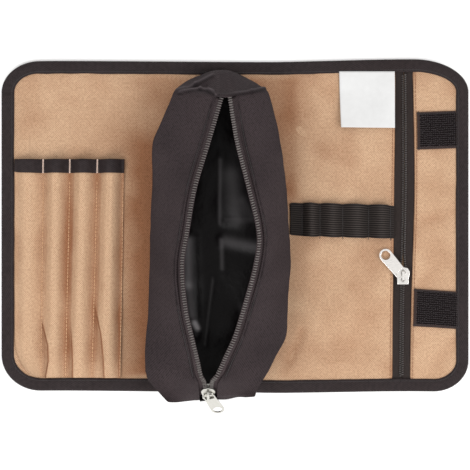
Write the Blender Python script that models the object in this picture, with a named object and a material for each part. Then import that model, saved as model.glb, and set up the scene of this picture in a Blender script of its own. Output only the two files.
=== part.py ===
"""Tool roll lying open on its back: a tan cloth panel with a black bound edge, a row of four tool
channels, a standing zip pouch, an elastic with four loops, a long zip with a flat pocket behind it,
two hook-and-loop patches and a blank label.

Metres, +Z up, +X to the roll's right, +Y to its top edge. The origin lies under the panel's middle.
"""

import bisect
import math

import bmesh
import bpy
from mathutils import Matrix, Vector

# Cloth and the gaps between layers
CLOTH = 0.0010
TAPE = 0.0008
CLEARANCE = 0.0003
LAYER_GAP = 0.0006

# The panel and its bound edge
PANEL_WIDTH = 0.400
PANEL_DEPTH = 0.283
CORNER_RADIUS = 0.032
BINDING_WIDTH = 0.011
BINDING_TUCK = 0.0034
EDGE_KEEP = 0.0006
EDGE_LIFT = TAPE + CLEARANCE
LIFT_RUN = 0.030
PUFF_HEIGHT = 0.0020

# The tool channels on the left
CHANNEL_RISE = 0.0078
CHANNEL_TOP = 0.0576
CHANNEL_TAPE_WIDTH = 0.0120
CHANNEL_FOOT_RISE = 0.0012

# The elastic with its loops
ELASTIC_WIDTH = 0.0285
ELASTIC_THICKNESS = 0.0012
ELASTIC_LEVEL = 0.0060
ELASTIC_SLOPE = -0.028
LOOP_RISE = 0.0068

# The long zip on the right
ZIP_X = 0.1438
ZIP_WINDOW = 0.0160
ZIP_FLANGE = 0.0050
ZIP_END_RUN = 0.014
RIDGE_FLAT = 0.0065
RIDGE_RUN = 0.014
LONG_SLIDER_Y = -0.0422

# Zip stringers and their hardware, a size 5 coil zip
COIL_WIDTH = 0.0030
COIL_HEIGHT = 0.0020
COIL_GAP = 0.00055
COIL_SPREAD = 0.00135
SLIDER_LENGTH = 0.0145
SLIDER_WIDTH = 0.0116
SLIDER_WALL = 0.0009
WEDGE_HALF = 0.00075
BRIDGE_LENGTH = 0.0090
BRIDGE_WIDTH = 0.0022
BRIDGE_WALL = 0.0011
BRIDGE_CLEAR = 0.0026
TAB_REACH = 0.0285
TAB_WIDTH = 0.0112
TAB_ROOT_WIDTH = 0.0100
TAB_THICKNESS = 0.0012
TAB_BAR = 0.0013
TAB_RAIL = 0.0011
TAB_WINDOW = 0.0054
TAB_HOLE_RADIUS = 0.0039
LONG_TAB_YAW = math.radians(40)
POUCH_TAB_YAW = math.radians(20)
TAB_DROOP = math.radians(3)

# The pouch
POUCH_X = -0.0125
POUCH_WIDTH = 0.120
POUCH_HEIGHT = 0.046
POUCH_WALL = 0.0014
POUCH_RIM_START = 0.1087
POUCH_LENGTH = 0.2540
POUCH_BASE_START = 0.1285
POUCH_BASE_LENGTH = 0.2565
TOP_PANEL_CROWN = 0.0015
SIDE_BULGE = 0.0050
TOP_END_BULGE = 0.0095
FOOT_END_BULGE = 0.0030
MOUTH_TO_COIL = 0.0065
MOUTH_FLANGE = 0.0060
POUCH_SLIDER_ALONG = 0.973

# Patches and label
PATCH_THICKNESS = 0.0018
PATCH_WIDTH = 0.0355
PATCH_DEPTH = 0.0320
LABEL_WIDTH = 0.0475
LABEL_LENGTH = 0.0460
LABEL_THICKNESS = 0.0010
LABEL_CURL = 0.0022


def table(names, *rows):
    """Rows of numbers as dictionaries, keyed by the column names."""
    return [dict(zip(names.split(), row)) for row in rows]


# Each corner's reach across and down, as shares of the corner radius
CORNERS = {
    (1, -1): (1.03, 0.84),
    (1, 1): (1.44, 0.86),
    (-1, 1): (0.95, 0.84),
    (-1, -1): (1.06, 0.97),
}

# The top and bottom edges' slight waves, as shares of the panel's depth
EDGE_WAVES = table(
    "along top bottom",
    (0.00, 0.000, 0.002),
    (0.15, 0.001, 0.003),
    (0.50, -0.002, -0.002),
    (0.60, -0.002, -0.004),
    (0.85, 0.006, 0.001),
    (1.00, 0.004, -0.001),
)

# Where the slack lining puffs up: place and reach as shares of the panel's width and depth
PUFFS = table(
    "across up reach rise",
    (0.280, 0.250, 0.110, 0.9),
    (0.245, -0.240, 0.110, 0.7),
    (-0.330, 0.330, 0.090, 0.6),
    (0.445, 0.080, 0.045, 0.6),
    (0.440, -0.330, 0.050, 0.7),
)

# The long zip's sideways drift and the bowing of its window, as shares of the window's width
ZIP_LINE = table(
    "along drift half",
    (0.00, -0.10, 0.47),
    (0.25, -0.06, 0.49),
    (0.62, 0.07, 0.54),
    (1.00, 0.05, 0.46),
)

# The seams between the tool channels, as shares of the panel's width, and how far each channel
# stands up, as a share of the channel rise
CHANNELS = table(
    "top foot rise",
    (-0.4715, -0.4715, 0.00),
    (-0.4095, -0.4150, 0.66),
    (-0.3525, -0.3625, 1.00),
    (-0.2938, -0.3060, 1.00),
    (-0.2365, -0.2440, 1.00),
)

# How the channels' rise changes from their tops (0) to their feet (1)
CHANNEL_FALL = table(
    "along rise",
    (0.00, 0.92),
    (0.20, 1.00),
    (0.60, 0.95),
    (0.82, 0.62),
    (1.00, 0.00),
)

# The elastic's seams, as shares of the panel's width
ELASTIC_SEAMS = (0.1435, 0.1820, 0.2305, 0.2858, 0.3320)
ELASTIC_ENDS = (0.1185, 0.3355)

# The pouch from its top end (0) to its foot (1). Widths are shares of the pouch's width to either
# side of its middle, and heights are shares of its height. Crown is how far the top panels arch, and
# slip how far a shoulder or the mouth is pushed up the panel, as a share of the pouch's height.
POUCH_SECTIONS = table(
    "along base_l base_r shoulder_l shoulder_r mouth_l mouth_r shoulder_z mouth_z crown "
    "slip_l slip_r slip_m",
    (0.00, -0.163, 0.154, -0.321, 0.338, -0.028, 0.108, 0.80, 0.84, 1.0, 0.1, 0.075, 0.0),
    (0.08, -0.270, 0.270, -0.402, 0.394, -0.078, 0.135, 0.74, 0.88, 1.0, 0.03, 0.02, 0.0),
    (0.16, -0.300, 0.300, -0.472, 0.427, -0.128, 0.166, 0.68, 0.93, 1.0, 0.0, 0.0, 0.0),
    (0.30, -0.310, 0.310, -0.480, 0.458, -0.215, 0.241, 0.60, 0.98, 1.0, 0.0, 0.0, 0.0),
    (0.45, -0.310, 0.310, -0.493, 0.482, -0.269, 0.309, 0.56, 1.00, 1.0, 0.0, 0.0, 0.0),
    (0.55, -0.310, 0.310, -0.494, 0.496, -0.300, 0.291, 0.56, 1.00, 1.0, 0.0, 0.0, 0.0),
    (0.70, -0.310, 0.310, -0.504, 0.479, -0.278, 0.208, 0.58, 0.98, 1.0, 0.0, 0.0, 0.0),
    (0.80, -0.310, 0.310, -0.520, 0.463, -0.233, 0.141, 0.64, 0.94, 1.0, 0.0, 0.0, 0.0),
    (0.86, -0.305, 0.290, -0.528, 0.386, -0.203, 0.083, 0.69, 0.90, 0.6, 0.0, 0.0, 0.0),
    (0.93, -0.290, 0.260, -0.519, 0.316, -0.170, 0.015, 0.74, 0.79, 0.0, -0.02, 0.01, 0.0),
    (0.945, -0.285, 0.250, -0.481, 0.294, -0.151, -0.016, 0.74, 0.72, -0.5, -0.03, 0.015, -0.01),
    (1.00, -0.250, 0.200, -0.365, 0.243, -0.142, -0.025, 0.70, 0.34, -2.4, -0.063, 0.037, -0.055),
)

# Places along the mouth: where the tapes start, where they begin to lie level, where the mouth bends
# over the foot and runs straight down it, and where the tapes end
TAPE_START = 0.016
MOUTH_LEVEL = 0.880
MOUTH_BEND = 0.925
MOUTH_STRAIGHT = 0.945
TAPE_END = 0.986
END_FLANGE = 0.25

# The patches' lower left corners, as shares of the panel's width and depth, and their tilt
PATCHES = table(
    "across up tilt",
    (0.3915, 0.2320, 0.038),
    (0.3845, -0.3020, -0.066),
)


def ease(t):
    """A smooth step from 0 to 1."""
    t = min(max(t, 0.0), 1.0)
    return t * t * (3 - 2 * t)


def mix(a, b, t):
    return a * (1 - t) + b * t


def along(rows, column, share):
    """The column's value at a share of the table's length, on a smooth curve through its rows."""
    spots = [row["along"] for row in rows]
    last = len(rows) - 1
    i = min(max(bisect.bisect_right(spots, share) - 1, 0), last - 1)

    def slope(k):
        low, high = max(k - 1, 0), min(k + 1, last)
        return (rows[high][column] - rows[low][column]) / (spots[high] - spots[low])

    span = spots[i + 1] - spots[i]
    t = (share - spots[i]) / span
    start, end = rows[i][column], rows[i + 1][column]
    return (
        (2 * t**3 - 3 * t**2 + 1) * start
        + (t**3 - 2 * t**2 + t) * span * slope(i)
        + (3 * t**2 - 2 * t**3) * end
        + (t**3 - t**2) * span * slope(i + 1)
    )


def spread(low, high, count):
    """count + 1 evenly spaced values from low to high."""
    return [mix(low, high, i / count) for i in range(count + 1)]


# Objects and materials


def clear_scene():
    for obj in list(bpy.data.objects):
        bpy.data.objects.remove(obj, do_unlink=True)


def material(name, colour, roughness, metallic=0.0):
    made = bpy.data.materials.get(name)
    if made is None:
        made = bpy.data.materials.new(name)
        made.use_nodes = True
        shader = made.node_tree.nodes["Principled BSDF"]
        shader.inputs["Base Color"].default_value = (*colour, 1.0)
        shader.inputs["Roughness"].default_value = roughness
        shader.inputs["Metallic"].default_value = metallic
    return made


def tan_cloth():
    return material("tan_cloth", (0.56, 0.36, 0.23), 0.85)


def black_cloth():
    return material("black_cloth", (0.045, 0.035, 0.037), 0.75)


def black_tape():
    return material("black_tape", (0.035, 0.028, 0.026), 0.8)


def zip_coil():
    return material("zip_coil", (0.03, 0.03, 0.03), 0.45)


def nickel():
    return material("nickel", (0.80, 0.78, 0.76), 0.22, 1.0)


def add_mesh(name, points, faces, finish, smooth_angle=35):
    """An object with one mesh, its normals made consistent and its round parts shaded smooth."""
    mesh = bpy.data.meshes.new(name)
    mesh.from_pydata([tuple(p) for p in points], [], faces)
    mesh.validate()
    mesh.materials.append(finish)
    mesh.shade_smooth()
    mesh.set_sharp_from_angle(angle=math.radians(smooth_angle))
    obj = bpy.data.objects.new(name, mesh)
    bpy.context.scene.collection.objects.link(obj)
    return obj


def grid_faces(columns, rows, start=0, skip=()):
    """Quads of a grid whose points are stored column by column."""
    return [
        (
            start + c * rows + r,
            start + (c + 1) * rows + r,
            start + (c + 1) * rows + r + 1,
            start + c * rows + r + 1,
        )
        for c in range(columns - 1)
        for r in range(rows - 1)
        if (c, r) not in skip
    ]


def thicken(obj, thickness, offset):
    """Gives a sheet its thickness: offset 1 builds it outwards, -1 inwards."""
    wall = obj.modifiers.new("wall", "SOLIDIFY")
    wall.thickness = thickness
    wall.offset = offset
    wall.use_even_offset = True
    wall.use_quality_normals = True
    wall.use_rim = True
    return obj


def cloth(name, columns, thickness, finish):
    """A sheet of cloth. columns holds the points of its underside, one list for each column."""
    points = [p for column in columns for p in column]
    faces = grid_faces(len(columns), len(columns[0]))
    return thicken(add_mesh(name, points, faces, finish), thickness, 1)


def sweep(name, sections, finish, closed=False):
    """A solid whose surface runs through equal closed sections. An open sweep gets flat ends."""
    size, count = len(sections[0]), len(sections)
    points = [p for section in sections for p in section]
    faces = []
    for s in range(count if closed else count - 1):
        near, far = s * size, (s + 1) % count * size
        for k in range(size):
            after = (k + 1) % size
            faces.append((near + k, near + after, far + after, far + k))
    if not closed:
        faces.append(tuple(reversed(range(size))))
        faces.append(tuple(range((count - 1) * size, count * size)))
    return add_mesh(name, points, faces, finish)


def face_outwards(obj):
    """Turns every face of a closed mesh outwards, by the sign of its volume."""
    mesh = obj.data
    mesh.calc_loop_triangles()
    volume = 0.0
    for triangle in mesh.loop_triangles:
        a, b, c = (mesh.vertices[i].co for i in triangle.vertices)
        volume += a.dot(b.cross(c))
    if volume < 0:
        mesh.flip_normals()
    return obj


# The panel's outline and the heights of its layers


def edge_y(side, x, inset=0.0):
    """The y of the top (side 1) or bottom (side -1) edge at x, moved in by inset."""
    wave = along(EDGE_WAVES, "top" if side > 0 else "bottom", x / PANEL_WIDTH + 0.5)
    y = side * (PANEL_DEPTH / 2 - inset) + wave * PANEL_DEPTH
    for end in (-1, 1):
        reach_x, reach_y = corner(side, end, inset)
        beyond = end * x - (PANEL_WIDTH / 2 - inset - reach_x)
        if beyond > 0:
            y -= side * reach_y * (1 - math.sqrt(max(0.0, 1 - (beyond / reach_x) ** 2)))
    return y


def corner(side, end, inset):
    """The reach of a corner across and down, at this inset."""
    smallest = CORNER_RADIUS * 0.15
    return [max(share * CORNER_RADIUS - inset, smallest) for share in CORNERS[side, end]]


def edge_stations(side, inset, corner_steps=5, straight_steps=10):
    """The x values of an edge's points, from left to right, close together round its corners."""
    turn = spread(0, math.pi / 2, corner_steps)
    left = -PANEL_WIDTH / 2 + inset
    right = PANEL_WIDTH / 2 - inset
    left_reach = corner(side, -1, inset)[0]
    right_reach = corner(side, 1, inset)[0]
    return (
        [left + left_reach * (1 - math.cos(a)) for a in turn]
        + spread(left + left_reach, right - right_reach, straight_steps)[1:-1]
        + [right - right_reach * (1 - math.sin(a)) for a in turn]
    )


def outline(inset, side_steps=6):
    """The panel's outline at this inset, clockwise from the left edge's top."""
    top = [Vector((x, edge_y(1, x, inset))) for x in edge_stations(1, inset)]
    bottom = [Vector((x, edge_y(-1, x, inset))) for x in edge_stations(-1, inset)]
    bottom.reverse()
    shares = spread(0, 1, side_steps)[1:-1]
    right = [top[-1].lerp(bottom[0], share) for share in shares]
    left = [bottom[-1].lerp(top[0], share) for share in shares]
    return top + right + bottom + left


def edge_distance(x, y):
    """How far a point lies inside the panel's outline."""
    here = Vector((x, y))
    nearest = PANEL_WIDTH
    for a, b in zip(OUTLINE, OUTLINE[1:] + OUTLINE[:1]):
        span = b - a
        t = min(max((here - a).dot(span) / span.length_squared, 0.0), 1.0)
        nearest = min(nearest, (here - a - span * t).length)
    return nearest


def zip_share(y):
    """A y as a share of the long zip's length, from its foot up."""
    return min(max(y / PANEL_DEPTH + 0.5, 0.0), 1.0)


def zip_middle(y):
    return ZIP_X + ZIP_WINDOW * along(ZIP_LINE, "drift", zip_share(y))


def zip_half(y):
    return ZIP_WINDOW * along(ZIP_LINE, "half", zip_share(y))


def zip_end_distance(y):
    """How far a point of the long zip lies from the bound edge's inner side."""
    x = zip_middle(y)
    return min(edge_y(1, x) - y, y - edge_y(-1, x)) - BINDING_WIDTH


def panel_lift(x, y):
    """The back's height off the ground: it rises to lie on the bound edge's lower leg."""
    inside = edge_distance(x, y) - BINDING_WIDTH
    return EDGE_LIFT * ease(1 - inside / LIFT_RUN)


def lining_puff(x, y):
    rise = 0.0
    for puff in PUFFS:
        away_x = x - puff["across"] * PANEL_WIDTH
        away_y = y - puff["up"] * PANEL_DEPTH
        reach = puff["reach"] * PANEL_WIDTH
        rise += puff["rise"] * ease(1 - math.hypot(away_x, away_y) / reach)
    return PUFF_HEIGHT * rise * ease((edge_distance(x, y) - BINDING_WIDTH) / LIFT_RUN)


def zip_ridge(x, y):
    """The lining climbs over the zip's tapes, and comes down again before the bound edge."""
    beyond = abs(x - zip_middle(y)) - zip_half(y) - RIDGE_FLAT
    rise = ZIP_TAPE_Z + TAPE + CLEARANCE - CLOTH - LAYER_GAP
    return rise * ease(1 - beyond / RIDGE_RUN) * ease(zip_end_distance(y) / ZIP_END_RUN)


def lining_underside(x, y):
    return panel_lift(x, y) + CLOTH + LAYER_GAP + lining_puff(x, y) + zip_ridge(x, y)


def on_lining(x, y):
    """The height at which a piece lies on the lining."""
    return lining_underside(x, y) + CLOTH + CLEARANCE


# The outline, for distances, the level that the pouch stands on, and the zip tape's level, over the
# slider's lower plate
OUTLINE = outline(0.0)
POUCH_SEAT = 2 * CLOTH + LAYER_GAP + CLEARANCE
ZIP_TAPE_Z = CLOTH + CLEARANCE + SLIDER_WALL + CLEARANCE


# Panel, lining and binding


def build_back():
    """The outer sheet, flat on the ground inside its bound edge."""
    insets = [BINDING_TUCK, BINDING_WIDTH, *spread(BINDING_WIDTH, BINDING_WIDTH + LIFT_RUN, 3)[1:]]
    rings = [outline(inset) for inset in insets]
    size = len(rings[0])
    points = [(p.x, p.y, panel_lift(p.x, p.y)) for ring in rings for p in ring]
    faces = []
    for r in range(len(rings) - 1):
        for k in range(size):
            after = (k + 1) % size
            faces.append((r * size + k, r * size + after, (r + 1) * size + after, (r + 1) * size + k))
    faces.append(tuple(range((len(rings) - 1) * size, len(rings) * size)))
    back = add_mesh("back_panel", points, faces, tan_cloth())
    if back.data.polygons[-1].normal.z < 0:
        back.data.flip_normals()
    return thicken(back, CLOTH, 1)


def depth_shares():
    """Row places from the lower edge to the upper one, close together where the cloth lifts."""
    near = [0.0, 0.032, 0.058, 0.085, 0.115, 0.150, 0.220]
    return near + spread(0.32, 0.68, 3) + [1 - share for share in reversed(near)]


def lining_sheet(name, stations, edge_x):
    """A sheet of lining. stations are x values, and edge_x moves one to follow the zip."""
    columns = []
    for x in stations:
        low, high = edge_y(-1, x, BINDING_TUCK), edge_y(1, x, BINDING_TUCK)
        column = []
        for share in depth_shares():
            y = mix(low, high, share)
            place = edge_x(x, y)
            column.append((place, y, lining_underside(place, y)))
        columns.append(column)
    return cloth(name, columns, CLOTH, tan_cloth())


def build_lining():
    """The lining, in two sheets with the long zip's window between them."""
    mean_left = ZIP_X - ZIP_WINDOW / 2
    mean_right = ZIP_X + ZIP_WINDOW / 2
    slope_start = RIDGE_FLAT + RIDGE_RUN
    reach = corner(1, -1, BINDING_TUCK)[0]
    left = -PANEL_WIDTH / 2 + BINDING_TUCK
    corner_x = [left + reach * (1 - math.cos(a)) for a in spread(0, math.pi / 2, 5)]
    near_zip = [mean_left - d for d in reversed([0, RIDGE_FLAT, *spread(RIDGE_FLAT, slope_start, 4)[1:]])]
    middle = spread(left + reach, mean_left - slope_start, 14)[1:-1]

    def to_left_window(x, y):
        near = ease(1 - (mean_left - x) / (3 * slope_start))
        return x + near * (zip_middle(y) - zip_half(y) - mean_left)

    def to_right_window(x, y):
        near = ease(1 - (x - mean_right) / (2 * slope_start))
        return x + near * (zip_middle(y) + zip_half(y) - mean_right)

    lining_sheet("lining_main", corner_x + middle + near_zip, to_left_window)
    right = PANEL_WIDTH / 2 - BINDING_TUCK
    reach = corner(1, 1, BINDING_TUCK)[0]
    far = [right - reach * (1 - math.sin(a)) for a in spread(0, math.pi / 2, 8)]
    beside = [mean_right, mean_right + RIDGE_FLAT]
    far = [x for x in far if x > beside[-1] + RIDGE_RUN / 4]
    lining_sheet("lining_strip", beside + far, to_right_window)


def binding_profile():
    """The binding's U section as (inset, height) pairs, clockwise from its lower leg's end."""
    height = binding_height()
    outer = [
        (height / 2 * (1 - math.sin(a)), height / 2 * (1 - math.cos(a)))
        for a in spread(0, math.pi, 4)
    ]
    hollow = height / 2 - TAPE
    inner = [
        (TAPE + hollow * (1 - math.sin(a)), height / 2 - hollow * math.cos(a))
        for a in spread(math.pi, 0, 2)
    ]
    upper = [(BINDING_WIDTH, height), (BINDING_WIDTH, height - TAPE)]
    lower = [(BINDING_WIDTH, TAPE), (BINDING_WIDTH, 0.0)]
    return outer + upper + inner + lower


def binding_height():
    """Two legs round the back and the lining."""
    return 2 * (TAPE + CLEARANCE + CLOTH) + LAYER_GAP


def build_binding():
    profile = binding_profile()
    rings = [outline(inset) for inset, _ in profile]
    sections = [
        [(rings[k][i].x, rings[k][i].y, profile[k][1]) for k in range(len(profile))]
        for i in range(len(OUTLINE))
    ]
    return face_outwards(sweep("edge_binding", sections, black_tape(), closed=True))


# Tool channels


def channel_foot_y(x):
    return edge_y(-1, x, BINDING_WIDTH + EDGE_KEEP)


def side_x(y):
    """The x at which the left bound edge ends at this y, round the lower corner too."""
    inset = BINDING_WIDTH + EDGE_KEEP
    reach_x, reach_y = corner(-1, -1, inset)
    beyond = -y - (PANEL_DEPTH / 2 - inset - reach_y)
    turn = max(beyond, 0.0) / reach_y
    return -PANEL_WIDTH / 2 + inset + reach_x * (1 - math.sqrt(max(0.0, 1 - turn * turn)))


def channel_stations(steps=6):
    """(channel, share across it) for each column, from the left edge to the right one."""
    stations = [(1, 0.0)]
    for channel in range(1, len(CHANNELS)):
        stations += [(channel, share) for share in spread(0, 1, steps)[1:]]
    return stations


def channel_point(channel, share, down, extra=0.0):
    """A point of the channel sheet's underside, and the height that it has off the lining."""
    left, right = CHANNELS[channel - 1], CHANNELS[channel]
    low = channel_foot_y(PANEL_WIDTH * CHANNELS[1]["foot"])
    start = max(PANEL_WIDTH * left["top"], side_x(mix(CHANNEL_TOP, low, down)))
    x = mix(start, PANEL_WIDTH * mix(right["top"], right["foot"], down), share)
    y = mix(CHANNEL_TOP, channel_foot_y(x), down)
    swell = (1 - math.cos(2 * math.pi * share)) / 2
    fall = along(CHANNEL_FALL, "rise", down)
    rise = right["rise"] * (CHANNEL_RISE * fall + CHANNEL_FOOT_RISE * (1 - fall)) * swell
    return Vector((x, y, on_lining(x, y) + rise + extra))


def tape_lift(down):
    """The sheet's upper edge stands on the lower leg of the tape that binds it."""
    depth = CHANNEL_TOP - channel_foot_y(0.0)
    below = down * depth - CHANNEL_TAPE_WIDTH
    return (TAPE + CLEARANCE) * ease(1 - below / CHANNEL_TAPE_WIDTH)


def build_channels():
    """One sheet, sewn down along its seams so that it stands up between them."""
    depth = CHANNEL_TOP - channel_foot_y(0.0)
    tuck = (TAPE + CLEARANCE) / depth
    under_tape = CHANNEL_TAPE_WIDTH / depth
    rows = [tuck, under_tape, 1.5 * under_tape, 2 * under_tape, *spread(2 * under_tape, 1, 10)[1:]]
    columns = [
        [channel_point(channel, share, down, tape_lift(down)) for down in reversed(rows)]
        for channel, share in channel_stations()
    ]
    return cloth("channel_sheet", columns, CLOTH, tan_cloth())


def build_channel_tape():
    """The black tape folded over the channels' upper edge."""
    depth = CHANNEL_TOP - channel_foot_y(0.0)
    width = CHANNEL_TAPE_WIDTH / depth
    gap = TAPE + CLEARANCE
    low = -gap
    high = CLOTH + gap
    profile = [
        (width, low),
        (gap / depth / 2, low),
        (0.0, low + TAPE / 2),
        (0.0, high - TAPE / 2),
        (gap / depth / 2, high),
        (width, high),
        (width, high - TAPE),
        (TAPE / depth, high - TAPE),
        (TAPE / depth, low + TAPE),
        (width, low + TAPE),
    ]
    stations = channel_stations()
    sections = []
    for i, (channel, share) in enumerate(stations):
        before, after = stations[max(i - 1, 0)], stations[min(i + 1, len(stations) - 1)]
        section = []
        for down, height in profile:
            here = channel_point(channel, share, down, tape_lift(down))
            run = channel_point(*after, down) - channel_point(*before, down)
            normal = Vector((-run.z, 0.0, run.x)).normalized()
            section.append(here + normal * height)
        sections.append(section)
    return face_outwards(sweep("channel_tape", sections, black_tape()))


# Elastic


def elastic_point(x, up):
    """A point of the elastic's underside, up being 0 at its lower edge and 1 at its upper one."""
    seams = [share * PANEL_WIDTH for share in ELASTIC_SEAMS]
    rise = 0.0
    for left, right in zip(seams, seams[1:]):
        if left < x < right:
            rise = LOOP_RISE * (1 - math.cos(2 * math.pi * (x - left) / (right - left))) / 2
    middle = ELASTIC_LEVEL + ELASTIC_SLOPE * (x - seams[0])
    y = middle + ELASTIC_WIDTH * (up - 0.5)
    return Vector((x, y, on_lining(x, y) + rise))


def build_elastic():
    seams = [share * PANEL_WIDTH for share in ELASTIC_SEAMS]
    start, end = (share * PANEL_WIDTH for share in ELASTIC_ENDS)
    stations = spread(start, seams[0], 2)
    for left, right in zip(seams, seams[1:]):
        stations += spread(left, right, 6)[1:]
    stations.append(end)
    columns = [[elastic_point(x, up) for up in spread(0, 1, 3)] for x in stations]
    return cloth("elastic_loops", columns, ELASTIC_THICKNESS, black_tape())


# Zip stringers, slider and pull tab


def coil_profile():
    """A stringer's coil and tape as (across, height) pairs, from the coil's inner foot round."""
    top = TAPE + COIL_HEIGHT
    return [
        (0.0, 0.0),
        (None, 0.0),
        (None, TAPE),
        (COIL_WIDTH, TAPE),
        (COIL_WIDTH * 0.92, top - COIL_HEIGHT * 0.3),
        (COIL_WIDTH * 0.70, top),
        (COIL_WIDTH * 0.30, top),
        (COIL_WIDTH * 0.08, top - COIL_HEIGHT * 0.3),
    ]


def stringer_section(inner, outwards, normal, reach):
    """One section of a stringer. inner is the foot of the coil's inner side, reach the tape's width."""
    return [
        inner + outwards * (reach if across is None else across) + normal * height
        for across, height in coil_profile()
    ]


def long_coil_offset(y):
    """Half the gap between the two coils: shut below the slider, just parted above it."""
    local = y - LONG_SLIDER_Y
    half = SLIDER_LENGTH / 2
    parting = mix(COIL_GAP, COIL_SPREAD, ease((local + half) / (1.4 * half)))
    settling = mix(COIL_SPREAD, COIL_GAP, ease((local - 1.3 * half) / (6 * half)))
    return parting if local < half else settling


def build_long_zip():
    """Two stringers under the lining's edges, with a slider part of the way up."""
    middle_x = zip_middle(0.0)
    inset = BINDING_WIDTH + EDGE_KEEP
    low, high = edge_y(-1, middle_x, inset), edge_y(1, middle_x, inset)
    near = [LONG_SLIDER_Y + SLIDER_LENGTH * share for share in spread(-0.6, 0.7, 8)]
    stations = [y for y in spread(low, high, 14) if not near[0] < y < near[-1]] + near
    stations += [low + ZIP_END_RUN, high - ZIP_END_RUN]
    stations += [low + 1.4 * ZIP_END_RUN, high - 1.4 * ZIP_END_RUN]
    for side, name in ((-1, "long_stringer_left"), (1, "long_stringer_right")):
        sections = []
        for y in sorted(stations):
            offset = long_coil_offset(y)
            tucked = ease((zip_end_distance(y) - ZIP_END_RUN) / (0.4 * ZIP_END_RUN))
            reach = zip_half(y) - offset - 2 * CLEARANCE + tucked * ZIP_FLANGE
            inner = Vector((zip_middle(y) + side * offset, y, ZIP_TAPE_Z))
            sections.append(
                stringer_section(inner, Vector((side, 0, 0)), Vector((0, 0, 1)), reach)
            )
        face_outwards(sweep(name, sections, zip_coil()))


def prism(name, corners, low, high, finish):
    """A straight prism over corners in plan."""
    sections = [[(x, y, z) for x, y in corners] for z in (low, high)]
    return face_outwards(sweep(name, sections, finish))


def mirrored(points):
    """Points given for the right half, from front to tail, closed by the left half."""
    return points + [(-x, y) for x, y in reversed(points)]


def joined(name, pieces):
    """One solid out of overlapping pieces, which are used up."""
    whole = pieces[0]
    for piece in pieces[1:]:
        union = whole.modifiers.new("union", "BOOLEAN")
        union.operation = "UNION"
        union.solver = "EXACT"
        union.object = piece
    bpy.context.view_layer.update()
    graph = bpy.context.evaluated_depsgraph_get()
    mesh = bpy.data.meshes.new_from_object(whole.evaluated_get(graph))
    mesh.name = name
    for piece in pieces:
        bpy.data.objects.remove(piece, do_unlink=True)
    return mesh


def slider_levels():
    """Heights above the tape's underside: the lower plate's top, the upper plate's underside and top."""
    lower = -CLEARANCE
    roof = TAPE + COIL_HEIGHT + CLEARANCE
    return lower, roof, roof + SLIDER_WALL


def slider_mesh():
    """A zip slider, its nose towards +Y: two plates on a wedge, side walls and a bridge for the tab."""
    lower, roof, top = slider_levels()
    half, wide = SLIDER_LENGTH / 2, SLIDER_WIDTH / 2
    tail = wide * 0.84
    edge = mirrored(
        [
            (wide * 0.22, half),
            (wide * 0.72, half * 0.90),
            (wide, half * 0.52),
            (wide, half * 0.22),
            (tail, -half * 0.30),
            (tail, -half * 0.86),
            (tail * 0.86, -half),
        ]
    )
    tip, belly = WEDGE_HALF * 0.4, WEDGE_HALF
    wedge = mirrored([(tip, half * 0.92), (belly, half * 0.66), (tip, half * 0.40)])
    pieces = [
        prism("upper_plate", edge, roof, top, nickel()),
        prism("lower_plate", edge, lower - SLIDER_WALL, lower, nickel()),
        prism("wedge", wedge, lower - SLIDER_WALL / 2, roof + SLIDER_WALL / 2, nickel()),
    ]
    wall_low = TAPE + CLEARANCE
    for side in (-1, 1):
        wall = [
            (side * wide, half * 0.52),
            (side * wide, half * 0.22),
            (side * tail, -half * 0.30),
            (side * tail, -half * 0.86),
            (side * (tail - SLIDER_WALL), -half * 0.86),
            (side * (tail - SLIDER_WALL), -half * 0.30),
            (side * (wide - SLIDER_WALL), half * 0.22),
            (side * (wide - SLIDER_WALL), half * 0.52),
        ]
        pieces.append(prism("side_wall", wall, wall_low, roof + SLIDER_WALL / 2, nickel()))
    pieces.append(bridge(top))
    return joined("zip_slider", pieces)


def bridge(top):
    """The arch on the upper plate that holds the tab."""
    reach = BRIDGE_LENGTH / 2
    foot = top - SLIDER_WALL / 2
    crown = top + BRIDGE_CLEAR
    inner = reach - BRIDGE_WALL * 1.2
    side_view = [
        (reach, foot),
        (reach, crown * 0.90),
        (reach * 0.80, crown + BRIDGE_WALL),
        (-reach * 0.80, crown + BRIDGE_WALL),
        (-reach, crown * 0.90),
        (-reach, foot),
        (-inner, foot),
        (-inner, crown * 0.94),
        (-inner * 0.80, crown),
        (inner * 0.80, crown),
        (inner, crown * 0.94),
        (inner, foot),
    ]
    sections = [[(x, y, z) for y, z in side_view] for x in (-BRIDGE_WIDTH / 2, BRIDGE_WIDTH / 2)]
    return face_outwards(sweep("bridge", sections, nickel()))


def tab_height():
    """The tab bar's height above the tape's underside, half way up inside the bridge."""
    return slider_levels()[2] + BRIDGE_CLEAR / 2


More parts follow.
